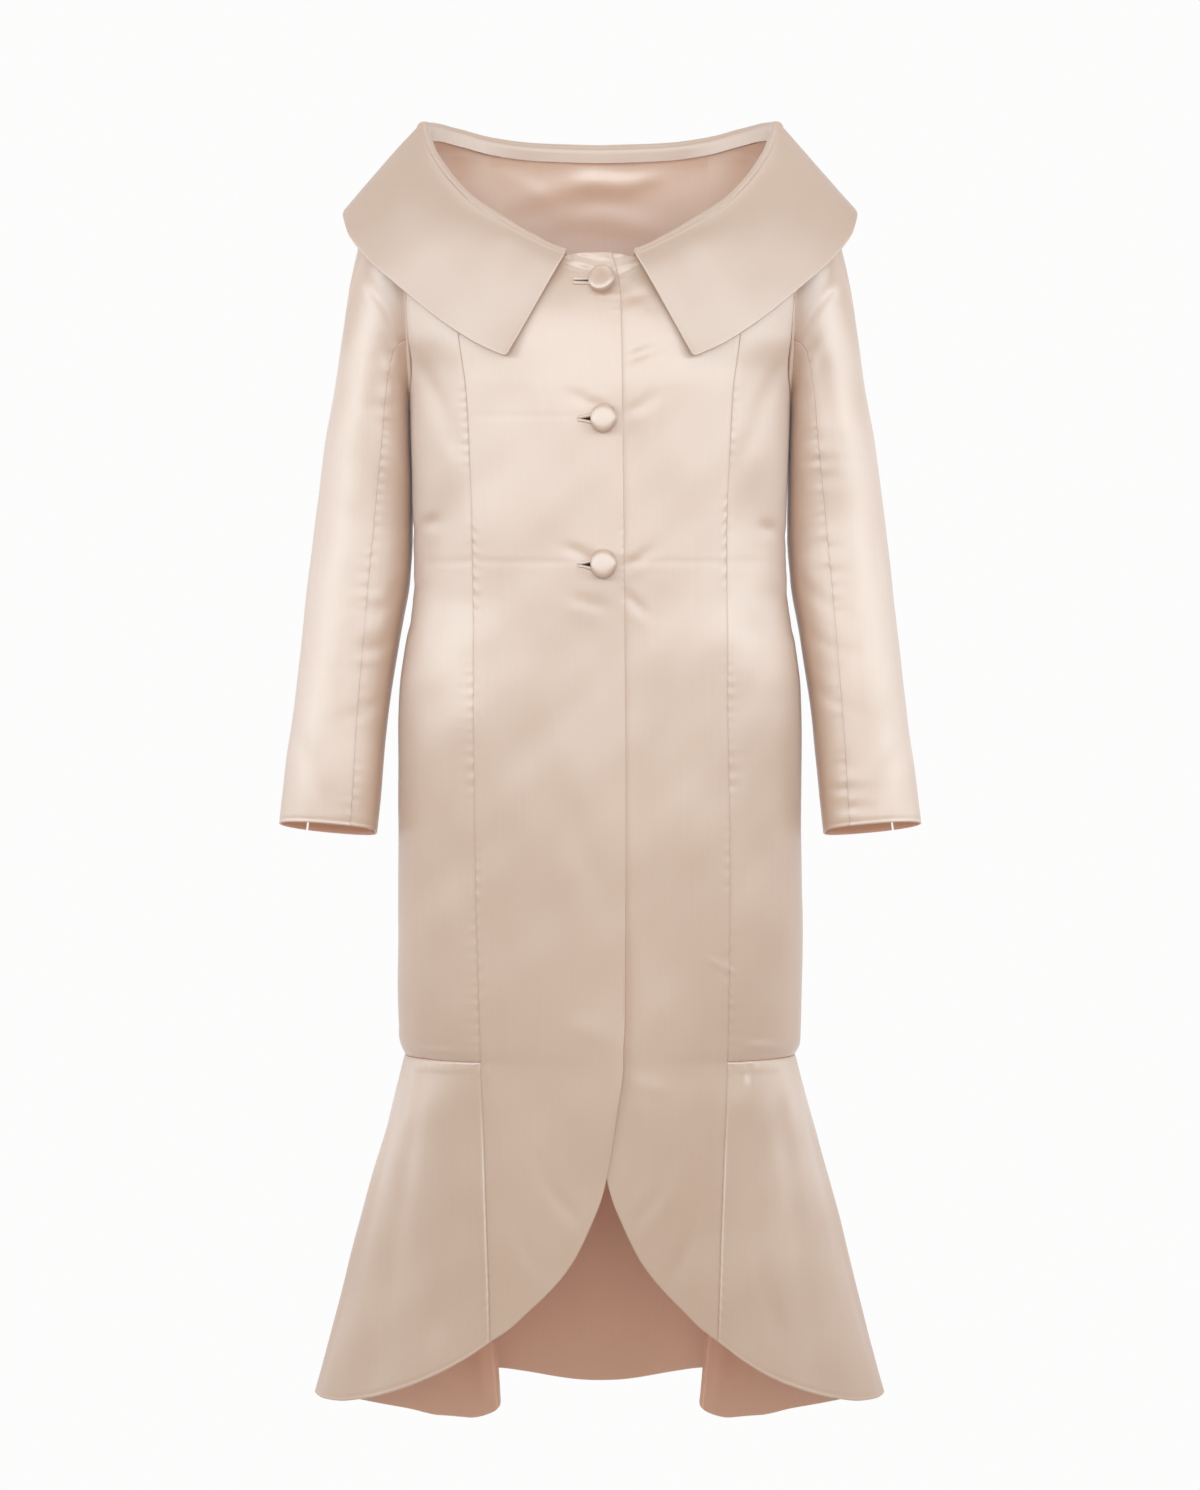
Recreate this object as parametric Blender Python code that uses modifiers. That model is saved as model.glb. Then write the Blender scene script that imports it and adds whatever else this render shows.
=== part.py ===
"""Opera coat: hollow satin coat with princess seams, a wide folded collar and a fluted flounce.

The coat faces -Y and stands along +Z. The origin lies between the shoulders of the wearer.
Right and left are those of the wearer, so the right side of the coat lies at -X.
"""
import bpy
import numpy as np

# Sizes of the cloth, in metres
MM = 0.001
WALL = 0.0016
COLLAR_WALL = 0.0024
LIP_WALL = 0.0008
SEAM_GAP = 0.0003
LAYER_GAP = 0.0005

# Heights of the main lines of the coat, in metres
HIP_SEAM = -0.853
POUCH_LEVELS = (0.0, 0.007, 0.021)
POUCH_TOP = 0.063
CHEST_LINE = -0.240
FRONT_FOOT = -1.123
BACK_FOOT = -1.192
BACK_HEM_DIP = 0.0185

# Shape of a body section: 2 is an ellipse, a larger value is squarer; and its usual radius
ROUNDNESS = 2.2
BODY_RADIUS = 0.150

# Overlap of the two fronts: where the cutaway is centred and how the under front steps inward
CUTAWAY_AXIS = 0.0058
STEP_START = 0.028
STEP_END = 0.050

# Vent at the back seam of the cuff
VENT_LENGTH = 0.040
VENT_WIDTH = 0.0025

# Fold and front corner of the collar
NECK_SEAM_GAP = 0.0008
COLLAR_CORNER = 0.0030
CORNER_WAY = (0.35, 0.0, 0.95)
FOLD_STEPS = 4
FALL_STEPS = 7
COLLAR_STATIONS_PER_HALF = 19

# Covered buttons and bound buttonholes
BUTTON_X = 0.0016
BUTTON_LIFT = 0.0017
BUTTON_SEGMENTS = 20
LIP_INNER_X = -0.0045
LIP_OUTER_X = -0.0265
LIP_HEIGHT = 0.0036
LIP_SLIT = 0.0008
LIP_SWELL = 0.0003

# Colours, linear
SATIN = (0.775, 0.640, 0.540, 1.0)
SATIN_ROUGHNESS = 0.38


def table(names, rows):
    """Named columns from rows given in millimetres or degrees."""
    values = np.array(rows, dtype=float)
    return {name: values[:, index] for index, name in enumerate(names.split())}


# Body sections, a row per level from the lower hem to the shoulder
BODY = table("height half_width front_depth back_depth", [
    (-1240, 200, 133, 176),
    (-1125, 200, 132.5, 160),
    (-1000, 200, 131.5, 140),
    (-900, 199, 130.5, 125),
    (-853, 195.5, 129.5, 119),
    (-846, 198.5, 129.5, 121),
    (-832, 200.5, 129.5, 122.5),
    (-795, 201.4, 129.5, 124),
    (-620, 201.4, 129, 125),
    (-535, 201.4, 128, 119),
    (-490, 200, 127.3, 112),
    (-450, 195.5, 126.6, 104),
    (-400, 187, 126, 97),
    (-353, 185.5, 125.6, 95),
    (-300, 186.5, 125.4, 98),
    (-250, 188.5, 125.4, 103),
    (-200, 190.5, 125.2, 107),
    (-180, 193, 124.4, 109),
    (-142, 203, 121, 111),
    (-100, 207, 113, 112),
    (-66, 207, 103, 110),
    (-31, 205, 88, 107),
    (-8, 203, 76, 104),
    (18, 199, 58, 99),
    (46, 190, 32, 92),
    (70, 160, 8, 80),
])

# Neck edge of the body, a row per direction: 0 is centre front, 90 the shoulder, 180 centre back
NECK = table("turn height", [
    (0, -66),
    (4, -66.3),
    (7.6, -69),
    (17, -57.5),
    (25, -44.8),
    (34, -28),
    (44, -1.5),
    (53, 23.5),
    (64, 48),
    (77, 58.5),
    (90, 61),
    (108, 64),
    (125, 62.5),
    (144, 57.5),
    (160, 54),
    (180, 52.3),
])

# Princess seams, a row per level: distance from the centre line on the right and left front and behind
PRINCESS = table("height right left back", [
    (-1240, 104, 111, 123),
    (-1125, 106.5, 114, 120),
    (-970, 111, 119.5, 116),
    (-853, 115.8, 124, 112),
    (-815, 117, 125, 112),
    (-650, 121.5, 126.3, 112),
    (-460, 123.2, 123.5, 98),
    (-353, 124, 123.3, 92),
    (-255, 127.5, 126.5, 98),
    (-200, 130.5, 129.5, 103),
    (-142, 138, 137, 106),
    (-10, 144, 143, 110),
    (70, 150, 150, 112),
])

# Armhole edge of the body, a row per level: direction in front and behind
ARMHOLE = table("height front back", [
    (-1240, 90, 90),
    (-202, 90, 90),
    (-196, 83, 98),
    (-180, 75, 106),
    (-142, 68, 112),
    (-100, 66.5, 114),
    (-50, 69, 112),
    (0, 75, 106),
    (30, 81.5, 99),
    (44, 87, 93),
    (48, 90, 90),
    (80, 90, 90),
])
ARMHOLE_TOP = 0.048
ARMHOLE_FOOT = -0.202
ARMHOLE_MIDDLE_Y = 0.003

# Free edge of the upper front, a row per level
FRONT_EDGE = table("height x", [
    (-1240, 22.5),
    (-850, 22.5),
    (-800, 24.3),
    (-600, 25),
    (-370, 23.5),
    (-220, 22),
    (-110, 20.3),
    (-96, 19),
    (-80, 15.5),
    (-66, 11.5),
])

# Cutaway hem of a front, a row per column: reach from the cutaway axis and height of the hem
CUTAWAY = table("reach height", [
    (-15.6, -862),
    (-13.5, -877),
    (-10.5, -896),
    (-5.5, -930),
    (0.0, -960),
    (6.4, -985),
    (14.5, -1005),
    (22.5, -1023),
    (33.0, -1043),
    (45.0, -1060),
    (60.0, -1077),
    (76.0, -1093),
    (92.0, -1109),
    (110.0, -1123),
])

# Flounce, a row per station: direction at the hip seam, then the place of the hem
FLOUNCE = table("turn x y height", [
    (35.0, 110, -124, -1123),
    (43.0, 130, -118, -1138),
    (51.0, 152, -109, -1152),
    (59.0, 178, -95, -1166),
    (67.0, 205, -78, -1178),
    (74.0, 232, -57, -1188),
    (81.0, 260, -31, -1195),
    (87.0, 279, -4, -1196.5),
    (93.0, 287, 20, -1195),
    (100.0, 281, 46, -1200),
    (107.0, 259, 70, -1209),
    (114.0, 229, 85, -1218),
    (120.0, 196, 91, -1225),
    (126.0, 163, 86, -1231),
    (131.0, 134, 73, -1231),
    (134.5, 114, 58, -1225),
    (136.5, 104.5, 53, -1219),
    (138.5, 102, 59, -1214),
    (141.0, 106, 83, -1208),
    (144.0, 113, 117, -1200),
    (147.0, 121, 150, -1192),
])
FLOUNCE_COLUMNS = 32
FLOUNCE_ROWS = 9
EDGE_FADE = 0.16
CORNER_EASE = 1.6

# Sleeve, a row per ring from the armhole to the cuff
SLEEVE = table("outer_x outer_z inner_x inner_z middle_y front_depth back_depth lift front_seam back_seam", [
    (198, 44, 190.6, -202, 3, 46, 50, 0, 122, 284),
    (212, 28, 190.6, -204, 4, 48, 53, 0, 120, 285),
    (226, 4, 190.4, -207, 6, 50, 55, 0, 116.2, 286),
    (239, -34, 190.2, -212, 9, 52, 57, 0, 111.2, 287),
    (250, -82, 190, -221, 13, 54, 58, 0, 107, 288),
    (258.5, -134, 189.6, -236, 16, 55, 58, 0, 103.3, 289),
    (266, -186, 189.2, -262, 18, 55, 57, 0, 101.2, 290),
    (276, -242, 188.8, -296, 18, 54, 56, 0, 99.9, 291),
    (284, -302, 188.4, -334, 16, 52, 54, 1, 98.3, 292),
    (291, -364, 190.5, -378, 11, 50, 52, 2, 97.6, 293),
    (298.5, -440, 201, -440, 3, 47, 48, 3, 101.5, 295),
    (306.5, -517, 211.5, -517, -7, 43, 44, 4, 105.9, 297),
    (313, -566, 216.5, -570, -14, 40, 41, 5, 108.8, 298),
    (319.5, -623.5, 222, -632, -21, 37, 38, 5.5, 111.7, 299),
])
SLEEVE_PLACES = np.arange(len(SLEEVE["lift"]), dtype=float)
SLEEVE_RADIUS = 0.050
SLEEVE_FLATNESS = 1.0
FLATTENING = (1.0, 7.0)
SLEEVE_RINGS = 19
UPPER_SLEEVE_COLUMNS = 9
UNDER_SLEEVE_COLUMNS = 8
ARMHOLE_DITCH = 0.002
ARMHOLE_CLEAR = 0.0012

# Collar, a row per direction round the neck: height of the stand, radius of the fold,
# outer edge of the fall and its bulge
COLLAR = table("turn stand fold x y z bulge", [
    (7.6, 0.6, 2.6, 88, -121, -171.5, 3),
    (17, 4, 4, 118.5, -111, -157, 3),
    (25, 7.5, 5, 146, -100, -139, 4),
    (34, 9.5, 5, 172, -84, -118, 5),
    (44, 9.5, 5, 200, -66, -93, 5),
    (53, 9.5, 5, 229, -45, -66, 4),
    (64, 9.5, 5, 251, -20, -35, 1),
    (77, 9.5, 5, 256.5, 5, -14.5, 0),
    (90, 9.5, 5, 255.5, 30, -8, 0),
    (105, 9.5, 5, 244, 62, -8, 1),
    (120, 9.5, 5, 221, 92, -14, 4),
    (135, 9.5, 5, 180, 121, -24, 6),
    (150, 9.5, 5, 125, 142, -34, 8),
    (165, 9.5, 5, 64, 152, -41, 8),
    (180, 9.5, 5, 0, 155, -44, 8),
])

# Buttons, a row per button: height of its centre
BUTTONS = table("height", [
    (-93.5,),
    (-229,),
    (-370,),
])

# Turned outline of a covered button, a row per point from the top of the dome to the shank
BUTTON_OUTLINE = table("radius lift", [
    (0, 8.6),
    (4.5, 8.3),
    (8.5, 7.2),
    (11.5, 5.4),
    (13.3, 3.2),
    (13.8, 1.6),
    (13.0, 0.4),
    (11.0, 0),
    (4.0, 0),
    (4.0, -1.3),
    (0, -1.3),
])

# Rows and columns of the body panels
BACK_COLUMNS = 14
SIDE_COLUMNS = 6
LOWER_ROWS = 9
UPPER_ROWS = 11


def smooth(known_at, known, at):
    """Smooth curve through known values that never swings past them."""
    gap = np.diff(known_at)
    slope = np.diff(known) / gap
    tangent = np.zeros(len(known))
    tangent[0] = slope[0]
    tangent[-1] = slope[-1]
    for index in range(1, len(known) - 1):
        before = slope[index - 1]
        after = slope[index]
        if before * after > 0:
            tangent[index] = 2 * before * after / (before + after)
    at = np.clip(at, known_at[0], known_at[-1])
    low = np.clip(np.searchsorted(known_at, at, side="right") - 1, 0, len(gap) - 1)
    part = (at - known_at[low]) / gap[low]
    rest = 1 - part
    start = (1 + 2 * part) * rest * rest * known[low] + part * rest * rest * gap[low] * tangent[low]
    end = part * part * (3 - 2 * part) * known[low + 1] - part * part * rest * gap[low] * tangent[low + 1]
    return start + end


def at_height(rows, name, height):
    """Column of a table at a height in metres; lengths come back in millimetres."""
    return smooth(rows["height"], rows[name], height / MM)


def ease(value, start, end):
    """Smooth step from 0 at start to 1 at end."""
    part = np.clip((value - start) / (end - start), 0.0, 1.0)
    return part * part * (3 - 2 * part)


def body_point(turn, height):
    """Point of the outer face of the body in a direction, in degrees from centre front."""
    angle = np.radians(turn)
    across = np.sin(angle)
    along = np.cos(angle)
    depth = at_height(BODY, "front_depth" if along > 0 else "back_depth", height)
    power = 2 / ROUNDNESS
    x = at_height(BODY, "half_width", height) * np.sign(across) * abs(across) ** power
    y = -depth * np.sign(along) * abs(along) ** power
    return np.array((x * MM, y * MM, height))


def body_normal(turn, height):
    """Outward direction of the body's outer face."""
    small_turn = 0.5
    small_rise = 0.001
    around = body_point(turn + small_turn, height) - body_point(turn - small_turn, height)
    up = body_point(turn, height + small_rise) - body_point(turn, height - small_rise)
    normal = np.cross(around, up)
    return normal / np.linalg.norm(normal)


def turn_at(x, height):
    """Direction, in degrees from centre front, of a point of the front at a distance from centre."""
    share = np.clip(abs(x) / (at_height(BODY, "half_width", height) * MM), 0.0, 1.0)
    return np.degrees(np.arcsin(share ** (ROUNDNESS / 2))) * np.sign(x)


def neck_height(turn):
    """Height of the neck edge in a direction."""
    return smooth(NECK["turn"], NECK["height"], abs(turn)) * MM


def neck_level(turn_of_height):
    """Height at which a column of a panel meets the neck edge."""
    height = 0.0
    for step in range(12):
        height = 0.5 * height + 0.5 * neck_height(turn_of_height(height))
    return height


def seam_turn(height, seam):
    """Direction of a princess seam: on the right front, on the left front or behind."""
    away = at_height(PRINCESS, seam, height) * MM
    turn = turn_at(away, height)
    return 180 - turn if seam == "back" else turn


def satin_material(name):
    """Plain satin colour for one piece."""
    material = bpy.data.materials.new(name + "_satin")
    material.use_nodes = True
    shader = material.node_tree.nodes["Principled BSDF"]
    shader.inputs["Base Color"].default_value = SATIN
    shader.inputs["Roughness"].default_value = SATIN_ROUGHNESS
    shader.inputs["Metallic"].default_value = 0.0
    material.diffuse_color = SATIN
    return material


def add_mesh(name, points, faces):
    """One named object with its own material."""
    mesh = bpy.data.meshes.new(name)
    mesh.from_pydata([tuple(point) for point in points], [], faces)
    mesh.validate()
    piece = bpy.data.objects.new(name, mesh)
    piece.data.materials.append(satin_material(name))
    coat.objects.link(piece)
    return piece


def signed_volume(points, faces):
    """Six times the volume inside the faces, negative if they face inward."""
    total = 0.0
    for face in faces:
        first = points[face[0]]
        for second, third in zip(face[1:-1], face[2:]):
            total += np.dot(first, np.cross(points[second], points[third]))
    return total


def add_wall(name, outer, normals, thickness):
    """Cloth wall: a grid of outer points, the same grid moved inward, and a closed rim."""
    outer = np.asarray(outer)
    inner = outer - np.asarray(normals) * thickness
    count_u, count_v = outer.shape[:2]
    points = np.concatenate((outer.reshape(-1, 3), inner.reshape(-1, 3)))
    layer = count_u * count_v
    faces = []
    for u in range(count_u - 1):
        for v in range(count_v - 1):
            corner = u * count_v + v
            ring = (corner, corner + count_v, corner + count_v + 1, corner + 1)
            faces.append(ring)
            faces.append(tuple(index + layer for index in reversed(ring)))
    rim = [u * count_v for u in range(count_u)]
    rim += [(count_u - 1) * count_v + v for v in range(1, count_v)]
    rim += [u * count_v + count_v - 1 for u in range(count_u - 2, -1, -1)]
    rim += [v for v in range(count_v - 2, 0, -1)]
    for first, second in zip(rim, rim[1:] + rim[:1]):
        faces.append((second, first, first + layer, second + layer))
    if signed_volume(points, faces) < 0:
        faces = [tuple(reversed(face)) for face in faces]
    piece = add_mesh(name, points, faces)
    piece.data.polygons.foreach_set("use_smooth", [True] * len(faces))
    return piece


def grid_normals(grid):
    """Directions square to a grid of points."""
    around = np.gradient(grid, axis=0)
    along = np.gradient(grid, axis=1)
    normals = np.cross(around, along)
    return normals / np.linalg.norm(normals, axis=2, keepdims=True)


def add_body_panel(name, turns_and_heights, drop_at=None):
    """Wall over part of the body, from a grid of directions and heights."""
    outer = []
    normals = []
    for column in turns_and_heights:
        line = []
        line_normals = []
        for turn, height in column:
            normal = body_normal(turn, height)
            point = body_point(turn, height)
            if drop_at is not None:
                point = point - normal * drop_at(point[0])
            line.append(point)
            line_normals.append(normal)
        outer.append(line)
        normals.append(line_normals)
    return add_wall(name, outer, normals, WALL)


def skirt_heights(hem):
    """Levels of a full-length panel from its hem to just below the hip seam."""
    return np.linspace(hem, HIP_SEAM, FLOUNCE_ROWS + 1)[:-1]


def bodice_heights(top):
    """Levels of a panel from the hip seam to the neck edge."""
    pouch = HIP_SEAM + np.array(POUCH_LEVELS)
    lower = np.linspace(HIP_SEAM + POUCH_TOP, CHEST_LINE, LOWER_ROWS + 1)[:-1]
    upper = np.linspace(CHEST_LINE, top, UPPER_ROWS + 1)
    return np.concatenate((pouch, lower, upper))


def front_columns(side):
    """Columns of a front from the princess seam to the free edge, cut away below."""
    grid = []
    word = "left" if side > 0 else "right"
    reach_of_foot = at_height(PRINCESS, word, FRONT_FOOT)
    reaches = CUTAWAY["reach"] * reach_of_foot / CUTAWAY["reach"][-1]
    for reach, hem in zip(reaches, CUTAWAY["height"]):
        hem = hem * MM
        shift = CUTAWAY_AXIS * side * (1 - np.clip(reach / reach_of_foot, 0, 1) ** 2)
        seam_at_hem = at_height(PRINCESS, word, hem) * MM
        edge_x = reaches[0] * MM + CUTAWAY_AXIS * side
        share = (reach * MM + shift - seam_at_hem) / (edge_x - seam_at_hem)
        share = np.clip(share, 0.0, 1.0)

        def own_x(height):
            edge = -at_height(FRONT_EDGE, "x", height) * MM
            edge = edge if side < 0 else edge + 2 * CUTAWAY_AXIS
            seam = at_height(PRINCESS, word, height) * MM - SEAM_GAP / 2
            return seam + (edge - seam) * share

        top = neck_level(lambda height: turn_at(own_x(height), height))
        heights = np.concatenate((skirt_heights(hem), bodice_heights(top)))
        grid.append([(side * turn_at(own_x(height), height), height) for height in heights])
    return grid


def under_front_drop(x):
    """Inward step of the under front below the upper front."""
    return (WALL + LAYER_GAP) * (1 - ease(x, STEP_START, STEP_END))


def side_columns(side, part):
    """Columns of a side panel from its princess seam to the side seam and armhole."""
    grid = []
    princess = "back" if part == "back" else "left" if side > 0 else "right"
    for share in np.linspace(0.0, 1.0, SIDE_COLUMNS + 1):

        def own_turn(height):
            seam = seam_turn(height, princess)
            edge = at_height(ARMHOLE, part, height)
            gap = np.degrees(SEAM_GAP / 2 / BODY_RADIUS) * np.sign(edge - seam)
            return seam + gap + (edge - seam - 2 * gap) * share

        heights = bodice_heights(neck_level(own_turn))
        heights[0] += SEAM_GAP / 2
        grid.append([(side * own_turn(height), height) for height in heights])
    return grid


def back_columns():
    """Columns of the centre back from seam to seam."""
    grid = []
    for share in np.linspace(-1.0, 1.0, BACK_COLUMNS + 1):
        hem = back_hem(abs(share))

        def own_turn(height):
            away = at_height(PRINCESS, "back", height) * MM - SEAM_GAP / 2
            return 180 - turn_at(away * share, height)

        top = neck_level(lambda height: 180 - abs(180 - own_turn(height)))
        heights = np.concatenate((skirt_heights(hem), bodice_heights(top)))
        grid.append([(own_turn(height), height) for height in heights])
    return grid


def back_hem(share):
    """Height of the back hem, lowest at centre back."""
    return BACK_FOOT - BACK_HEM_DIP * (1 - share ** 2) ** 2


def flounce_grid(front_seam):
    """Outer points of a flounce, laid out at the +X side and straight-ruled from hip seam to hem."""
    stations = np.arange(len(FLOUNCE["turn"]), dtype=float)
    at = np.linspace(0, len(stations) - 1, FLOUNCE_COLUMNS + 1)
    hem = np.array([[smooth(stations, FLOUNCE[name], place) * MM for name in ("x", "y", "height")] for place in at])
    turns = np.array([smooth(stations, FLOUNCE["turn"], place) for place in at])
    rows = np.linspace(0.0, 1.0, FLOUNCE_ROWS + 1)
    grid = np.zeros((len(at), len(rows), 3))
    for column, turn in enumerate(turns):
        hip = body_point(turn, HIP_SEAM)
        hip[2] -= SEAM_GAP / 2
        for row, part in enumerate(rows):
            grid[column, row] = hip + (hem[column] - hip) * part
    shares = at / at[-1]
    for end, princess, foot in ((0, front_seam, FRONT_FOOT), (-1, "back", BACK_FOOT)):
        fade = 1 - ease(abs(shares - shares[end]), 0.0, EDGE_FADE)
        for row, share in enumerate(rows):
            height = HIP_SEAM - SEAM_GAP / 2 + (foot - HIP_SEAM) * share
            seam = body_point(seam_turn(height, princess), height)
            grid[:, row] += np.outer(fade, seam - grid[end, row])
    return grid


def trim_flounce(grid, front_seam):
    """Keeps the edges of the flounce clear of the panels that they are sewn to."""
    for row in range(grid.shape[1]):
        for end, inside, princess in ((0, 1, front_seam), (-1, -2, "back")):
            heading = grid[inside, row] - grid[end, row]
            length = np.linalg.norm(heading)
            turn = seam_turn(grid[end, row][2], princess)
            ahead = body_point(turn + 1.0, grid[end, row][2]) - body_point(turn - 1.0, grid[end, row][2])
            ahead = ahead * (1 if end == 0 else -1)
            bend = np.clip(np.dot(heading, ahead) / length / np.linalg.norm(ahead), 0.0, 1.0)
            half = np.tan(np.arccos(bend) / 2)
            trim = SEAM_GAP / 2 + (WALL * half * CORNER_EASE if end == -1 else 0.0)
            grid[end, row] += heading / length * trim
    return grid


def sleeve_ring(place, turn):
    """Point of one ring of the +X sleeve; turn 0 is outward, 90 in front, 180 against the body."""
    ring = {name: smooth(SLEEVE_PLACES, SLEEVE[name], place) * MM for name in SLEEVE}
    middle = np.array((ring["outer_x"] + ring["inner_x"], 0, ring["outer_z"] + ring["inner_z"])) / 2
    outward = np.array((ring["outer_x"] - ring["inner_x"], 0, ring["outer_z"] - ring["inner_z"])) / 2
    angle = np.radians(turn)
    squareness = 2 + SLEEVE_FLATNESS * ease(place, *FLATTENING) * (np.cos(angle) < 0)
    front = np.sign(np.sin(angle)) * abs(np.sin(angle)) ** (2 / squareness)
    out = np.sign(np.cos(angle)) * abs(np.cos(angle)) ** (2 / squareness)
    depth = ring["front_depth"] if front > 0 else ring["back_depth"]
    point = middle + outward * out
    return point + np.array((0, ring["middle_y"] - depth * front, ring["lift"] * front))


def armhole_ring(turn):
    """Point of the first edge of the +X sleeve, on the armhole and set just inside it."""
    centre = np.array((0.0, ARMHOLE_MIDDLE_Y, (ARMHOLE_TOP + ARMHOLE_FOOT) / 2))
    angle = np.radians(turn)
    height = centre[2] + (ARMHOLE_TOP - ARMHOLE_FOOT) / 2 * np.cos(angle)
    part = "front" if np.sin(angle) > 0 else "back"
    edge = body_point(at_height(ARMHOLE, part, height), height)
    inward = (centre - edge) * np.array((0, 1, 1))
    edge = edge + inward / np.linalg.norm(inward) * ARMHOLE_DITCH
    edge[0] += ARMHOLE_CLEAR
    return edge


def sleeve_point(place, turn):
    """Point of the +X sleeve; place -1 is the armhole edge, then it counts the rings."""
    start = min(place, 0.0)
    point = sleeve_ring(max(place, 0.0), turn) * (1 + start)
    return point - armhole_ring(turn) * start


def sleeve_normal(place, turn):
    """Outward direction of the +X sleeve."""
    small_turn = 2.0
    small_step = 0.2
    around = sleeve_point(place, turn + small_turn) - sleeve_point(place, turn - small_turn)
    before = max(place - small_step, -1.0)
    after = min(place + small_step, SLEEVE_PLACES[-1])
    along = sleeve_point(after, turn) - sleeve_point(before, turn)
    normal = np.cross(around, along)
    return normal / np.linalg.norm(normal)


def sleeve_grids(first_seam, last_seam, column_count, vent_at_first):
    """Outer points and directions of one sleeve piece between two seams."""
    grid = []
    normals = []
    cuff = SLEEVE["outer_z"][-1] * MM
    gap = np.degrees(SEAM_GAP / 2 / SLEEVE_RADIUS)
    for place in np.concatenate(((-1.0,), np.linspace(0.0, SLEEVE_PLACES[-1], SLEEVE_RINGS))):
        known = max(place, 0.0)
        first = smooth(SLEEVE_PLACES, SLEEVE[first_seam], known) - (360 if vent_at_first else 0)
        last = smooth(SLEEVE_PLACES, SLEEVE[last_seam], known)
        level = smooth(SLEEVE_PLACES, SLEEVE["outer_z"], known) * MM
        vent = ease(level, cuff + VENT_LENGTH, cuff) * np.degrees(VENT_WIDTH / 2 / SLEEVE_RADIUS)
        first += gap + (vent if vent_at_first else 0)
        last -= gap + (0 if vent_at_first else vent)
        turns = np.linspace(first, last, column_count + 1)
        grid.append([sleeve_point(place, turn) for turn in turns])
        normals.append([sleeve_normal(place, turn) for turn in turns])
    return np.array(grid).transpose(1, 0, 2), np.array(normals).transpose(1, 0, 2)


def mirrored(grid):
    """The same points on the other side of the coat."""
    return grid * np.array((-1, 1, 1))


def collar_grid():
    """Visible face of the collar: up the inside of the stand, over the fold and down the fall."""
    half = []
    first = COLLAR["turn"][0]
    for turn in np.linspace(first, 180.0, COLLAR_STATIONS_PER_HALF + 1):
        row = {name: smooth(COLLAR["turn"], COLLAR[name], turn) for name in COLLAR}
        height = neck_height(turn)
        edge = np.array((row["x"], row["y"], row["z"])) * MM
        base = body_point(turn, height) - body_normal(turn, height) * WALL
        base[2] = height + NECK_SEAM_GAP
        out = body_normal(turn, height) * np.array((1, 1, 0))
        out = out / np.linalg.norm(out)
        if turn == first:
            edge = edge + np.array(CORNER_WAY) * COLLAR_CORNER
        top = base + np.array((0, 0, row["stand"] * MM))
        line = [base, (base + top) / 2]
        for angle in np.linspace(0.0, np.pi, FOLD_STEPS + 1):
            fold = row["fold"] * MM
            line.append(top + out * fold * (1 - np.cos(angle)) + np.array((0, 0, fold * np.sin(angle))))
        start = line[-1]
        fall = edge - start
        side = np.cross(np.cross(fall, out), fall)
        side = -side if np.dot(side, out) < 0 else side
        side = side / np.linalg.norm(side)
        for part in np.linspace(0.0, 1.0, FALL_STEPS + 1)[1:]:
            line.append(start + fall * part + side * row["bulge"] * MM * np.sin(np.pi * part))
        half.append(np.array(line))
    other = [mirrored(line) for line in half[-2::-1]]
    return np.array(half + other)


def add_button(name, height):
    """Turned covered button, its axis square to the front."""
    turn = turn_at(BUTTON_X, height)
    mesh = bpy.data.meshes.new(name)
    points = [(radius * MM, 0, lift * MM) for radius, lift in zip(BUTTON_OUTLINE["radius"], BUTTON_OUTLINE["lift"])]
    mesh.from_pydata(points, [(index, index + 1) for index in range(len(points) - 1)], [])
    piece = bpy.data.objects.new(name, mesh)
    piece.data.materials.append(satin_material(name))
    coat.objects.link(piece)
    normal = body_normal(turn, height)
    piece.location = body_point(turn, height) + normal * BUTTON_LIFT
    piece.rotation_euler = (np.pi / 2 - np.arcsin(normal[2]), 0, np.arctan2(normal[0], -normal[1]))
    screw = piece.modifiers.new("turned", "SCREW")
    screw.axis = "Z"
    screw.angle = 2 * np.pi
    screw.steps = BUTTON_SEGMENTS
    screw.render_steps = BUTTON_SEGMENTS
    screw.use_merge_vertices = True
    screw.merge_threshold = 0.00005
    screw.use_normal_calculate = True
    screw.use_smooth_shade = True
    return piece


def add_lip(name, height, way):
    """One lip of a bound buttonhole, laid on the right front."""
    grid = []
    for x in np.linspace(LIP_OUTER_X, LIP_INNER_X, 6):
        line = []
        for part in (0.0, 0.5, 1.0):
            level = height + way * (LIP_SLIT / 2 + LIP_HEIGHT * part)
            turn = turn_at(x, level)
            lift = SEAM_GAP + LIP_WALL + LIP_SWELL * np.sin(np.pi * part)
            line.append(body_point(turn, level) + body_normal(turn, level) * lift)
        grid.append(line)
    grid = np.array(grid)
    normals = grid_normals(grid)
    normals = normals * np.where(normals[:, :, 1:2] > 0, -1, 1)
    return add_wall(name, grid, normals, LIP_WALL)


for leftover in list(bpy.data.objects):
    bpy.data.objects.remove(leftover, do_unlink=True)
coat = bpy.data.collections.new("opera_coat")
bpy.context.scene.collection.children.link(coat)

# Fronts, the right one lying on the left one
add_body_panel("right_front", front_columns(-1))
add_body_panel("left_front", front_columns(1), under_front_drop)

# Side panels and centre back
add_body_panel("right_side_front", side_columns(-1, "front"))
add_body_panel("left_side_front", side_columns(1, "front"))
add_body_panel("right_side_back", side_columns(-1, "back"))
add_body_panel("left_side_back", side_columns(1, "back"))
add_body_panel("back", back_columns())

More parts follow.
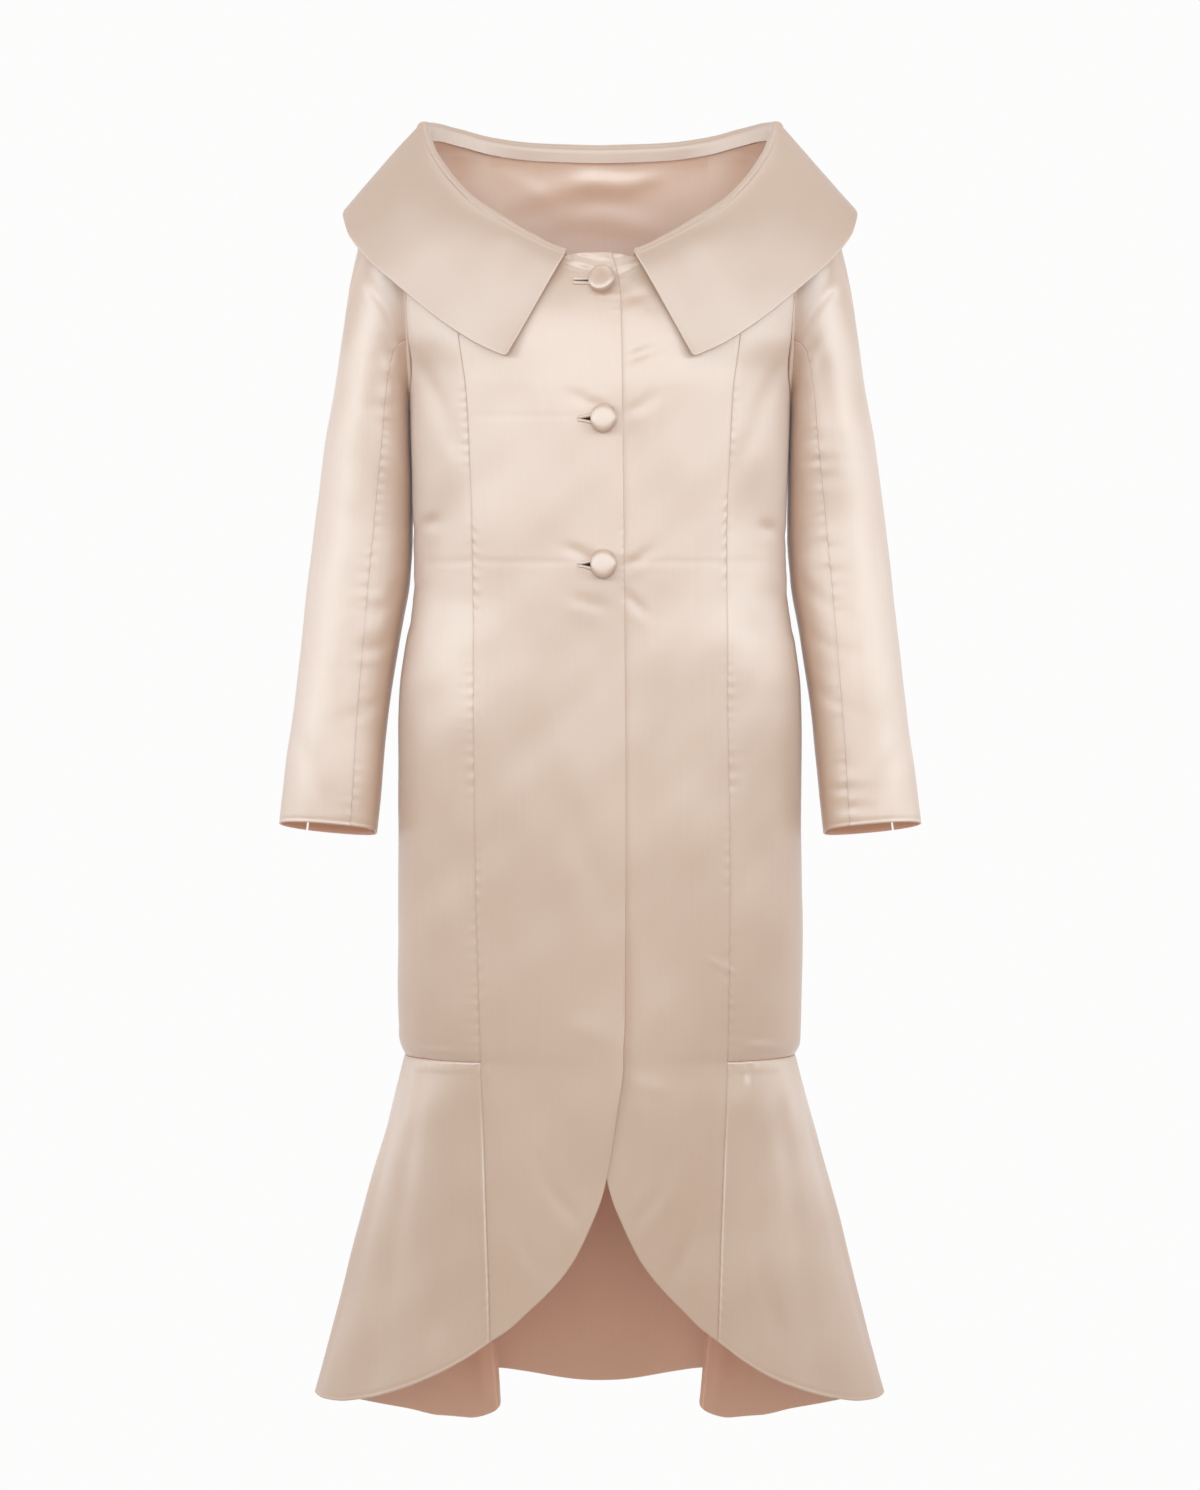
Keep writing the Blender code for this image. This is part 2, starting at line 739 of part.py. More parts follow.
# Flounces with a deep flute on each side of the centre back
for word, side in (("right", -1), ("left", 1)):
    flounce = flounce_grid(word)
    normals = -grid_normals(flounce)
    flounce = trim_flounce(flounce, word)
    if side < 0:
        flounce, normals = mirrored(flounce), mirrored(normals)
    add_wall(word + "_flounce", flounce, normals, WALL)

# Two-piece sleeves
upper = sleeve_grids("back_seam", "front_seam", UPPER_SLEEVE_COLUMNS, True)
under = sleeve_grids("front_seam", "back_seam", UNDER_SLEEVE_COLUMNS, False)
for word, (grid, normals) in (("upper", upper), ("under", under)):
    add_wall("left_" + word + "_sleeve", grid, normals, WALL)
    add_wall("right_" + word + "_sleeve", mirrored(grid), mirrored(normals), WALL)

# Collar
collar = collar_grid()
add_wall("collar", collar, grid_normals(collar), COLLAR_WALL)

# Covered buttons and bound buttonholes
for number, height in enumerate(BUTTONS["height"], start=1):
    add_button("button_" + str(number), height * MM)
    add_lip("buttonhole_" + str(number) + "_upper", height * MM, 1)
    add_lip("buttonhole_" + str(number) + "_lower", height * MM, -1)
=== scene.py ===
import bpy
import numpy as np
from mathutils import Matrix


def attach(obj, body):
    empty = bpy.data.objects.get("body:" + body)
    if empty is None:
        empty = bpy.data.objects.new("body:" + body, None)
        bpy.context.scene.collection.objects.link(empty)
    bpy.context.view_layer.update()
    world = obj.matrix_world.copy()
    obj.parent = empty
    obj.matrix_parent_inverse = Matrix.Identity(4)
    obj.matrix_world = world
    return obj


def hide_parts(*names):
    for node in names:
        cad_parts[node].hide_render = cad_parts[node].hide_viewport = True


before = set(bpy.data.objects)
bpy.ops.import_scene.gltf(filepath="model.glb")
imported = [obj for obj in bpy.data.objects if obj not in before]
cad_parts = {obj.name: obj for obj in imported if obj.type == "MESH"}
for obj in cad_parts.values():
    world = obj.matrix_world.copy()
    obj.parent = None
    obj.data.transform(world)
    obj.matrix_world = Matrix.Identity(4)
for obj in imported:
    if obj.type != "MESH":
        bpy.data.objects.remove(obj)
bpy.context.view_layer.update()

# Fronts
# Two full-length fronts of heavy duchesse satin, the right one lapped over the left and buttoned.
# Each runs from the princess seam to a faced free edge and is cut away below in a long curve.
MM = 0.001
SIDES = {-1: "right", 1: "left"}
WALL = 1.6 * MM
LAYER_GAP = 0.5 * MM
ROUNDNESS = 2.2
EYE_DISTANCE = 3.6
EYE_HEIGHT = -0.545
# Grid of a front: steps across and up, how much it gathers towards the top, and its width
FRONT_STEPS = (2.2 * MM, 3.0 * MM)
FRONT_GATHER = 0.5
FRONT_WIDTH = 0.141


def table(names, rows):
    """Named columns from rows given in millimetres or degrees."""
    return dict(zip(names.split(), np.array(rows, dtype=float).T))


BODY = table("height half_width front_depth back_depth", [
    (-1240, 200, 133, 176), (-1125, 200, 132.5, 160), (-1000, 200, 131.5, 140),
    (-900, 199, 130.5, 125), (-853, 195.5, 129.5, 119), (-846, 198.5, 129.5, 121),
    (-832, 200.5, 129.5, 122.5), (-795, 201.4, 129.5, 124), (-620, 201.4, 129, 125),
    (-535, 201.4, 128, 119), (-490, 200, 127.3, 112), (-450, 195.5, 126.6, 104),
    (-400, 187, 126, 97), (-353, 185.5, 125.6, 95), (-300, 186.5, 125.4, 98),
    (-250, 188.5, 125.4, 103), (-200, 190.5, 125.2, 107), (-180, 193, 124.4, 109),
    (-142, 203, 121, 111), (-100, 207, 113, 112), (-66, 207, 103, 110), (-31, 205, 88, 107),
    (-8, 203, 76, 104), (18, 199, 58, 99), (46, 190, 32, 92), (70, 160, 8, 80),
])
NECK = table("turn height", [
    (0, -66), (4, -66.3), (7.6, -69), (17, -57.5), (25, -44.8), (34, -28), (44, -1.5), (53, 23.5),
    (64, 48), (77, 58.5), (90, 61), (108, 64), (125, 62.5), (144, 57.5), (160, 54), (180, 52.3),
])
PRINCESS = table("height right left back", [
    (-1240, 104, 111, 123), (-1125, 106.5, 114, 120), (-970, 111, 119.5, 116),
    (-853, 115.8, 124, 112), (-815, 117, 125, 112), (-650, 121.5, 126.3, 112),
    (-460, 123.2, 123.5, 98), (-353, 124, 123.3, 92), (-255, 127.5, 126.5, 98),
    (-200, 130.5, 129.5, 103), (-142, 138, 137, 106), (-10, 144, 143, 110), (70, 150, 150, 112),
])
FRONT_EDGE = table("height x", [
    (-1240, 22.5), (-850, 22.5), (-800, 24.3), (-600, 25), (-370, 23.5), (-220, 22), (-110, 20.3),
    (-96, 19), (-80, 15.5), (-66, 11.5),
])
CUTAWAY = table("reach height", [
    (-15.6, -862), (-13.5, -877), (-10.5, -896), (-5.5, -930), (0, -960), (6.4, -985),
    (14.5, -1005), (22.5, -1023), (33, -1043), (45, -1060), (60, -1077), (76, -1093), (92, -1109),
    (110, -1123),
])
# Where the cutaway's middle lies, and where the left front comes up from under the right one
CUTAWAY_AXIS = 0.0058
UNDERLAP_STEP = (0.028, 0.050)


def smooth(known_at, known, at):
    """Smooth curve through known values that never swings past them."""
    gap = np.diff(known_at)
    slope = np.diff(known) / gap
    before, after = slope[:-1], slope[1:]
    same_way = before * after > 0
    tangent = np.zeros(len(known))
    tangent[0], tangent[-1] = slope[0], slope[-1]
    tangent[1:-1][same_way] = (2 * before * after)[same_way] / (before + after)[same_way]
    at = np.clip(at, known_at[0], known_at[-1])
    low = np.clip(np.searchsorted(known_at, at, side="right") - 1, 0, len(gap) - 1)
    part = (at - known_at[low]) / gap[low]
    rest = 1 - part
    start = (1 + 2 * part) * rest * rest * known[low]
    end = part * part * (3 - 2 * part) * known[low + 1]
    leaving = part * rest * rest * gap[low] * tangent[low]
    arriving = part * part * rest * gap[low] * tangent[low + 1]
    return (start + leaving) + (end - arriving)


def at_height(rows, name, height):
    """Column of a table at heights in metres; lengths come back in millimetres."""
    return smooth(rows["height"], rows[name], np.asarray(height) / MM)


def ease(value, start, end):
    """Smooth step from 0 at start to 1 at end."""
    part = np.clip((value - start) / (end - start), 0.0, 1.0)
    return part * part * (3 - 2 * part)


def between(value, start, end):
    """1 on a stretch and 0 outside it, with a smooth step at its start and at its end."""
    return ease(value, *start) * (1 - ease(value, *end))


def unit(vectors):
    """The same directions with a length of 1."""
    return vectors / np.linalg.norm(vectors, axis=-1, keepdims=True)


def rounded(way, roundness):
    """Sine or cosine of a turn, moved from a circle to a squarer outline."""
    return np.sign(way) * np.abs(way) ** (2 / roundness)


def body_point(turn, height):
    """Points of the body's outer face, by direction in degrees from centre front and by height."""
    angle = np.radians(turn)
    across, along = (rounded(way, ROUNDNESS) for way in (np.sin(angle), np.cos(angle)))
    in_front = at_height(BODY, "front_depth", height)
    depth = np.where(along > 0, in_front, at_height(BODY, "back_depth", height))
    x = at_height(BODY, "half_width", height) * across
    return np.stack((x * MM, -depth * along * MM, height + 0 * x), axis=-1)


def body_normal(turn, height):
    """Outward directions of the body's outer face."""
    small_turn, small_rise = 0.5, 0.001
    around = body_point(turn + small_turn, height) - body_point(turn - small_turn, height)
    up = body_point(turn, height + small_rise) - body_point(turn, height - small_rise)
    return unit(np.cross(around, up))


def on_body(turn, height):
    """Points of the body's outer face and its outward directions there."""
    return body_point(turn, height), body_normal(turn, height)


def turn_at(x, height):
    """Direction from centre front of points of the front at a distance from the centre line."""
    share = np.clip(np.abs(x) / (at_height(BODY, "half_width", height) * MM), 0.0, 1.0)
    return np.degrees(np.arcsin(share ** (ROUNDNESS / 2))) * np.sign(x)


def neck_height(turn):
    """Height of the neck edge in a direction."""
    return smooth(NECK["turn"], NECK["height"], np.abs(turn)) * MM


NECK_TRIES = 14


def neck_level(turn_of_height, count):
    """Heights at which the columns of a panel meet the neck edge, approached in half steps."""
    height = np.zeros((count, 1))
    for attempt in range(NECK_TRIES):
        height = 0.5 * height + 0.5 * neck_height(turn_of_height(height))
    return height


# Rows of points beside every edge, in millimetres from it
EDGE_PLACES = (0, 0.3, 0.7, 1.3, 2.2, 3.4, 5.0)


def spread(length, step):
    """Shares from 0 to 1 along a length: close together near both ends, even between."""
    near = np.array(EDGE_PLACES) * MM
    count = max(2, round((length - 2 * near[-1]) / step))
    middle = np.linspace(near[-1], length - near[-1], count + 1)
    return np.concatenate((near[:-1], middle, length - near[-2::-1])) / length


def levels(foot, top, step, gather=0.0):
    """Heights of each column, closer together at both ends and, if gathered, towards the top."""
    rows = spread(float(np.max(top - foot)), step)
    rows = rows + gather * rows * (1 - rows)
    return foot + (top - foot) * rows[None, :]


# Long soft waves of the whole coat: turns per metre along x, y and z, start, rise in millimetres
WAVES = table("along_x along_y along_z start rise", [
    (2.1, 1.3, 4.4, 0.4, 0.34), (-4.6, 2.2, 2.9, 1.9, 0.3), (6.3, -3.1, -6.1, 3.3, 0.2),
    (9.7, 4.1, 3.2, 5.1, 0.15), (-3.4, 6.5, 11.3, 2.6, 0.12), (13.1, -5.3, 9.1, 0.9, 0.08),
    (17.3, 8.7, -16.9, 4.4, 0.05),
])


def unevenness(points):
    """Slight uneven waves that worn satin shows all over, in metres."""
    total = np.zeros(points.shape[:-1])
    for x, y, z, start, rise in zip(*WAVES.values()):
        turns = points[..., 0] * x + points[..., 1] * y + points[..., 2] * z
        total += rise * MM * np.sin(2 * np.pi * turns + start)
    return total


# A crease: where it starts and ends, its bend, width and depth, and how far it fades on its way
CREASE_COLUMNS = "x1 z1 x2 z2 bend width depth fade"
CREASE_RUNOUT = 1.7
CREASE_SHOULDER = 0.9
CREASE_FADE = (0.1, 1.0)


def creases(rows, across, up):
    """Soft troughs, or ridges where the depth is positive, at places in millimetres; in metres."""
    total = np.zeros_like(across)
    for x1, z1, x2, z2, bend, width, depth, fade in zip(*rows.values()):
        length = np.hypot(x2 - x1, z2 - z1)
        way_x, way_z = (x2 - x1) / length, (z2 - z1) / length
        along = (across - x1) * way_x + (up - z1) * way_z
        part = np.clip(along / length, 0.0, 1.0)
        bow = bend * 4 * part * (1 - part)
        aside = ((up - z1) * way_x - (across - x1) * way_z - bow) / width
        past = (along - part * length) / (CREASE_RUNOUT * width)
        shape = (1 - CREASE_SHOULDER * aside ** 2) * np.exp(-aside ** 2 - past ** 2)
        total += depth * MM * shape * (1 - fade * ease(part, *CREASE_FADE))
    return total


# Creases of the front as it is seen: drag lines at the buttons, press lines, soft hollows
FRONT_CREASES = table(CREASE_COLUMNS, [
    (-36, -53, -6, -66, -1, 3.4, 0.8, 0), (-36, -63, -14, -69, -1, 3.2, -1.1, 0),
    (-17, -56.5, 6, -61, -1, 3.6, -1.3, 0), (4, -56, 9, -66, 0, 3.6, 0.7, 0),
    (38, -57, 16, -66, 1, 3.4, 0.8, 0), (36, -66, 22, -73, 1, 3.4, -1, 0),
    (30, -54, 18, -58, 0, 3, -0.6, 0), (27, -88, 44, -100, 1, 9, -0.35, 0.4),
    (24, -112, 40, -118, 1, 7, 0.15, 0.6), (-4, -205, -18, -199, 1, 8, -0.75, 0.3),
    (-22, -197, -52, -180, 1, 14, -0.12, 0.8), (36, -208, 46, -202, 0, 8, -0.4, 0.4),
    (42, -204, 72, -188, 1, 13, -0.16, 0.8), (38, -155, 60, -146, 0, 9, -1.1, 0.5),
    (34, -97, 38, -96, 0, 7, -0.6, 0.5), (-2, -360, -22, -352, 1, 7.5, -0.8, 0.2),
    (-24, -351, -50, -337, 1, 14, -0.1, 0.8), (35, -361, 43, -356, 0, 7.5, -0.6, 0.4),
    (42, -355, 72, -330, 1, 13, -0.16, 0.8), (-12, -402, -5, -404, 0, 8.5, -0.4, 0),
    (-26, -412, 4, -430, 2, 12, 0.12, 0.3), (33, -401, 36, -404, 0, 7.5, -0.5, 0),
    (32, -418, 44, -424, 0, 9, 0.1, 0), (113, -762, 127, -770, 0, 3.2, 0.5, 0),
    (-172, -362, 190, -362, 0, 4.5, -0.12, 0), (-120, -216, -22, -216, 0, 4.5, -0.08, 0),
    (-26, -622, -21, -648, 0, 16, -0.5, 0), (0, -682, 3, -702, 0, 15, -0.45, 0),
    (-14, -831, 3, -837, 0, 13, 0.4, 0), (35, -883, 56, -888, 0, 11, 0.35, 0),
    (-30, -1012, -62, -962, 4, 10, -0.6, 0.6), (-66, -1062, -88, -1008, 3, 10, -0.5, 0.6),
    (42, -1016, 70, -964, -4, 10, -0.6, 0.6), (80, -1063, 98, -1010, -3, 10, -0.5, 0.6),
    (-62, -540, -50, -905, 9, 24, -0.8, 0.4), (68, -500, 58, -850, -7, 24, -0.8, 0.4),
    (-190, -158, -150, -236, 4, 12, -0.9, 0.6), (190, -160, 152, -238, -4, 12, -0.9, 0.6),
    (-178, -851, -158, -852, 0, 5.5, 0.8, 0), (158, -847, 178, -848, 0, 6, 0.8, 0),
    (148, -866, 148, -874, 0, 3.6, -0.8, 0), (-112, -871, -112, -878, 0, 3.2, 0.5, 0),
])

# Creases of the sides, by depth and height: pulls at the waist and below the armhole
SIDE_CREASES = table(CREASE_COLUMNS, [
    (-60, -330, 62, -352, 6, 9, -0.9, 0.2), (-40, -392, 70, -372, -5, 10, -0.8, 0.3),
    (-30, -432, 40, -424, 3, 9, -0.6, 0.2), (4, -212, -20, -292, 3, 9, -0.8, 0.7),
    (12, -214, 46, -286, -3, 9, -0.7, 0.7), (-52, -560, -46, -806, 5, 20, -0.8, 0.3),
    (40, -520, 52, -800, -5, 20, -0.8, 0.3), (-20, -838, 26, -841, 0, 8, 0.7, 0),
])
SIDE_SHIFT = 3

# Creases of the back: folds above the hips, pulls from the shoulder blades, long soft folds below
BACK_CREASES = table(CREASE_COLUMNS, [
    (-78, -296, 62, -310, 7, 10, -1.2, 0.1), (-46, -338, 88, -330, -6, 9, -1, 0.2),
    (-92, -378, -8, -370, 4, 8, -0.8, 0.3), (20, -392, 96, -384, 3, 9, -0.7, 0.3),
    (-84, -112, -52, -240, 5, 14, -0.8, 0.5), (86, -108, 54, -236, -5, 14, -0.8, 0.5),
    (-16, 30, 22, 28, 2, 14, -0.5, 0), (-92, 34, -70, 24, 2, 12, -0.5, 0),
    (-52, -560, -60, -850, 7, 22, -0.9, 0.3), (48, -600, 54, -910, -7, 22, -0.9, 0.3),
    (-8, -640, 2, -780, 5, 16, 0.6, 0.2), (-66, -960, -84, -1180, 5, 20, -1, 0),
    (60, -940, 82, -1180, -5, 20, -1, 0), (0, -990, 4, -1200, 4, 22, 1, 0),
])

# How far the cloth has to face the front, the back or a side before it shows the creases there
FACES_FRONT = (0.1, 0.5)
FACES_SIDE = (0.55, 0.85)


def as_seen(points):
    """Places of points across and up the view from in front, in millimetres."""
    near = 1 + points[..., 1] / EYE_DISTANCE
    up = EYE_HEIGHT + (points[..., 2] - EYE_HEIGHT) / near
    return points[..., 0] / near / MM, up / MM


def body_relief(points, normals):
    """Waves and creases of the body, read from in front, from behind and from the sides."""
    x, y, z = (points[..., axis] / MM for axis in range(3))
    out, back = np.abs(normals[..., 0]), normals[..., 1]
    in_front = ease(-back, *FACES_FRONT) * creases(FRONT_CREASES, *as_seen(points))
    behind = ease(back, *FACES_FRONT) * creases(BACK_CREASES, x, z)
    beside = ease(out, *FACES_SIDE) * creases(SIDE_CREASES, y, z + SIDE_SHIFT * np.sign(x))
    return unevenness(points) + in_front + behind + beside


def turned(distance, reach, drop):
    """How far a face curls down towards an edge that is a distance away."""
    part = np.clip(1 - distance / reach, 0.0, 1.0)
    return drop * (1 - np.sqrt(1 - part ** 2))


def ridge(distance, place, width, rise):
    """Soft ridge, or a groove where the rise is negative, along a line beside an edge."""
    return rise * np.exp(-((distance - place) / width) ** 2)


# Slow swings of a row of puckers: rise, length in metres and share of the start; where they show
PUCKER_DRIFT = ((0.35, 0.031, 1.0), (0.2, 0.0127, 2.0))
PUCKER_PATCHES = ((1.0, 0.043, 1.7), (0.6, 0.019, 1.0))
PUCKERS_SHOW = (-0.5, 1.0)


def drift(swings, along, start):
    """Sum of slow swings along an edge."""
    return sum(rise * np.sin(along / length + share * start) for rise, length, share in swings)


def puckers(along, distance, pitch, reach, rise, start):
    """Small uneven ripples across a sewn edge, strong in some stretches and gone in others."""
    turns = along / pitch + drift(PUCKER_DRIFT, along, start)
    patch = ease(drift(PUCKER_PATCHES, along, start), *PUCKERS_SHOW)
    return rise * np.sin(2 * np.pi * turns) * patch * np.exp(-distance / reach)


def from_edges(face):
    """Distances along the cloth from the first and last column, and from the bottom and top row."""
    across = np.cumsum(np.linalg.norm(np.diff(face, axis=0, prepend=face[:1]), axis=2), axis=0)
    up = np.cumsum(np.linalg.norm(np.diff(face, axis=1, prepend=face[:, :1]), axis=2), axis=1)
    return across, across[-1:] - across, up, up[:, -1:] - up


# Reach and drop of the curl at each kind of edge
CURLS = {
    "seam": (1.2 * MM, 0.26 * MM),
    "deep seam": (2.6 * MM, 1.1 * MM),
    "free": (1.1 * MM, 0.70 * MM),
}
# Place, width and rise of the ridge over a seam's turnings; pitch, reach and rise of the puckers
ALLOWANCE_RIDGE = (7.5 * MM, 1.6 * MM, 0.16 * MM)
SEAM_PUCKERS = (11 * MM, 6 * MM, 0.26 * MM)
FREE_PUCKERS = (17 * MM, 9 * MM, 0.14 * MM)
# Starts that make the puckers differ from edge to edge
SEAM_START = 1.3
FREE_START = 0.7
# Reach of the painted shade beside a sewn edge
SEAM_SHADE_REACH = 0.9 * MM


def edge_finish(distances, kinds):
    """Rise of the shown and hidden faces at each edge, and the painted shade beside sewn edges.

    Sewn edges sink in, free ones are turned and round, and hidden ones stay flat.
    """
    shown, hidden, near = (np.zeros_like(distances[0]) for layer in range(3))
    for number, (distance, kind) in enumerate(zip(distances, kinds)):
        if kind == "hidden":
            continue
        along = distances[2] if number < 2 else distances[0]
        curl = turned(distance, *CURLS[kind])
        shown -= curl
        if kind == "free":
            hidden += curl
            shown += puckers(along, distance, *FREE_PUCKERS, FREE_START + number)
        else:
            shown += ridge(distance, *ALLOWANCE_RIDGE)
            shown += puckers(along, distance, *SEAM_PUCKERS, SEAM_START * number)
            # Painted shade along the sewn edge
            near = np.maximum(near, np.exp(-distance / SEAM_SHADE_REACH))
    return shown, hidden, near


SHARP_FOLD = np.radians(58)


def cloth_mesh(name, points, faces, grain, near):
    """Smooth mesh of four-sided faces, with the run of its threads and its mask of painted shade
    and highlight.
    """
    faces = np.ascontiguousarray(faces)
    mesh = bpy.data.meshes.new(name)
    mesh.vertices.add(len(points))
    mesh.vertices.foreach_set("co", points.ravel())
    mesh.loops.add(faces.size)
    mesh.loops.foreach_set("vertex_index", faces.ravel())
    mesh.polygons.add(len(faces))
    mesh.polygons.foreach_set("loop_start", np.arange(0, faces.size, 4))
    mesh.polygons.foreach_set("use_smooth", np.ones(len(faces), dtype=bool))
    mesh.uv_layers.new(name="grain").data.foreach_set("uv", grain[faces.ravel()].ravel())
    mesh.attributes.new("painted_shade_and_highlight", "FLOAT", "POINT").data.foreach_set("value", near)
    mesh.update(calc_edges=True)
    mesh.validate()
    mesh.set_sharp_from_angle(angle=SHARP_FOLD)
    piece = bpy.data.objects.new(name, mesh)
    bpy.context.scene.collection.objects.link(piece)
    return piece


# Inside the neck, above this height, the lining gives way to a facing, painted paler where the neck
# is lit
NECK_FACING_FOOT = -75 * MM


def cloth_shell(
        name, face, normals, shown, hidden, near, facing_foot=np.inf, wall=WALL, grain=None):
    """Closed shell of cloth: the shown face, the face behind it and the rim between them."""
    outer = face + normals * shown[..., None]
    inner = face - normals * (wall - hidden)[..., None]
    points = np.concatenate((outer.reshape(-1, 3), inner.reshape(-1, 3)))
    index = np.arange(face.shape[0] * face.shape[1]).reshape(face.shape[:2])
    corners = (index[:-1, :-1], index[1:, :-1], index[1:, 1:], index[:-1, 1:])
    front = np.stack(corners, axis=-1).reshape(-1, 4)
    rim = np.concatenate((index[:, 0], index[-1, 1:], index[-2::-1, -1], index[0, -2:0:-1]))
    after = np.roll(rim, -1)
    edge = np.stack((after, rim, rim + index.size, after + index.size), axis=-1)
    faces = np.concatenate((front, edge, front[:, ::-1] + index.size))
    first, second, third, fourth = (points[faces[:, corner]] for corner in range(4))
    volume = np.sum(first * (np.cross(second, third) + np.cross(third, fourth)))
    faces = faces if volume > 0 else faces[:, ::-1]
    grain = np.stack(from_edges(face)[::2], axis=-1) if grain is None else grain
    grain = np.tile(grain.reshape(-1, 2), (2, 1))
    near = np.concatenate((near.ravel(), 0 * near.ravel()))
    piece = cloth_mesh(name, points, faces, grain, near)
    inside = np.arange(len(faces)) >= len(front) + len(edge)
    # Inner faces above the foot take the paler, lit copy of the lining satin
    faced = inside & (points[faces].mean(axis=1)[:, 2] > facing_foot)
    piece.data.polygons.foreach_set("material_index", inside.astype(np.int32) + faced)
    return piece


class Shade:
    """A socket of a shader that takes plain arithmetic, and makes the nodes beside it."""

    def __init__(self, tree, socket=None):
        self.tree = tree
        self.socket = socket

    def node(self, kind, settings=None, sockets=None, output=0):
        """A new node: its settings first, then the values or links of its sockets."""
        made = self.tree.nodes.new(kind)
        for word, value in (settings or {}).items():
            setattr(made, word, value)
        for word, value in (sockets or {}).items():
            if isinstance(value, Shade):
                self.tree.links.new(value.socket, made.inputs[word])
            else:
                made.inputs[word].default_value = value
        return Shade(self.tree, made.outputs[output])

    def math(self, operation, first, second):
        return self.node("ShaderNodeMath", {"operation": operation}, {0: first, 1: second})

    def __add__(self, other):
        return self.math("ADD", self, other)

    __radd__ = __add__

    def __sub__(self, other):
        return self.math("SUBTRACT", self, other)

    def __rsub__(self, other):
        return self.math("SUBTRACT", other, self)

    def __mul__(self, other):
        return self.math("MULTIPLY", self, other)

    __rmul__ = __mul__

    def into(self, shader, name):
        self.tree.links.new(self.socket, shader.inputs[name])


def blend(share, first, second):
    """Colour between two others, by a share; a Mix node takes colours in its sockets 6 and 7."""
    sockets = {0: share, 6: first, 7: second}
    return share.node("ShaderNodeMix", {"data_type": "RGBA"}, sockets, output=2)


def new_material(name):
    """A material, its main shader and a start for its nodes."""
    material = bpy.data.materials.new(name)
    material.use_nodes = True
    return material, material.node_tree.nodes["Principled BSDF"], Shade(material.node_tree)


def set_looks(shader, looks):
    """Sets plain values on a shader's sockets."""
    for socket, value in looks.items():
        shader.inputs[socket].default_value = value


# How many to a metre: clouds in space, then threads across and along the grain
CLOUDS = (9, 9, 7)
WARP_FLOATS = (1500, 130, 1)
WEFT = (260, 1900, 1)
SLUBS = (420, 9, 1)
# How much each of them changes the colour, the roughness and the rise of the satin
FLOAT_TONE, SLUB_TONE = 0.22, 0.25
CLOUD_GLOSS, FLOAT_GLOSS, SEAM_GLOSS = 0.08, 0.10, 0.05
FLOAT_RISE, WEFT_RISE, SLUB_RISE = 0.6, 0.4, 0.35
WEAVE_BUMP = {"Strength": 0.16, "Distance": 0.00025}
# Painted shade darkens the satin by this much at seams, grooves and rims; where its mask is
# negative, a painted highlight turns it pale
SEAM_SHADE = (0.62, 0.42, 0.30, 1.0)
HIGHLIGHT_PALE = (0.93, 0.79, 0.67, 1.0)
HIGHLIGHT_STRENGTH = 0.8
SATIN_LOOKS = {
    "IOR": 2.0,
    "Anisotropic": 0.90,
    "Coat Roughness": 0.40,
    "Sheen Roughness": 0.35,
    "Sheen Tint": (1.0, 0.97, 0.95, 1.0),
}
LEAST_SHINE, MORE_SHINE = 0.2, 0.8
COAT_AND_SHEEN = 0.25


def satin(name, deep, pale, roughness, lustre=1.0, painted_edge_shade=0.30):
    """Duchesse satin: long warp floats, a fine weft, a soft gloss and slightly cloudy colour."""
    material, shader, nodes = new_material(name)
    threads = nodes.node("ShaderNodeUVMap", {"uv_map": "grain"})
    place = nodes.node("ShaderNodeTexCoord", output="Object")
    edge = nodes.node("ShaderNodeAttribute", {"attribute_name": "painted_shade_and_highlight"}, output="Fac")

    def noise(at, per_metre, detail):
        sized = at.node("ShaderNodeVectorMath", {"operation": "MULTIPLY"}, {0: at, 1: per_metre})
        sockets = {"Vector": sized, "Scale": 1.0, "Detail": detail}
        return at.node("ShaderNodeTexNoise", None, sockets)

    clouds = noise(place, CLOUDS, 2.0)
    floats = noise(threads, WARP_FLOATS, 2.0)
    weft = noise(threads, WEFT, 1.0)
    slubs = noise(threads, SLUBS, 1.0)
    tone = 0.5 + (clouds - 0.5) + (floats - 0.5) * FLOAT_TONE + (slubs - 0.5) * SLUB_TONE
    # Colour with painted shade where the mask is high, then with a painted highlight where it is
    # negative
    shade = tuple(part * depth for part, depth in zip(deep, SEAM_SHADE))
    sewn = blend(edge * painted_edge_shade, blend(tone, deep, pale), shade)
    blend(edge * -HIGHLIGHT_STRENGTH, sewn, HIGHLIGHT_PALE).into(shader, "Base Color")
    uneven = (clouds - 0.5) * CLOUD_GLOSS + (floats - 0.5) * FLOAT_GLOSS
    (roughness + uneven + edge * SEAM_GLOSS).into(shader, "Roughness")
    weave = floats * FLOAT_RISE + weft * WEFT_RISE + slubs * SLUB_RISE
    nodes.node("ShaderNodeBump", None, {**WEAVE_BUMP, "Height": weave}).into(shader, "Normal")
    set_looks(shader, SATIN_LOOKS)
    set_looks(shader, {
        "Specular IOR Level": LEAST_SHINE + MORE_SHINE * lustre,
        "Coat Weight": COAT_AND_SHEEN * lustre,
        "Sheen Weight": COAT_AND_SHEEN * lustre,
    })
    return material


# Satins of the shown face, of the lining and of the facing inside the neck
# The lining and the facing are one satin in two colours: the lining is painted deeper and redder,
# partly its own colour and partly painted shade inside the coat; the facing is painted paler, as
# lit
BODY_SATINS = tuple(satin(*look) for look in (
    ("champagne_satin", (0.568, 0.357, 0.238, 1.0), (0.690, 0.465, 0.328, 1.0), 0.46),
    ("lining_satin", (0.800, 0.428, 0.264, 1.0), (0.910, 0.528, 0.344, 1.0), 0.44, 0.8),
    ("facing_satin", (0.765, 0.505, 0.365, 1.0), (0.875, 0.610, 0.455, 1.0), 0.44, 0.8),
))


def sew(piece, node, slot, *materials):
    """Puts a finished piece in the place of its solid, with the satins of its faces."""
    for material in materials:
        piece.data.materials.append(material)
    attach(piece, "root")
    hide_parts(node)
    return piece


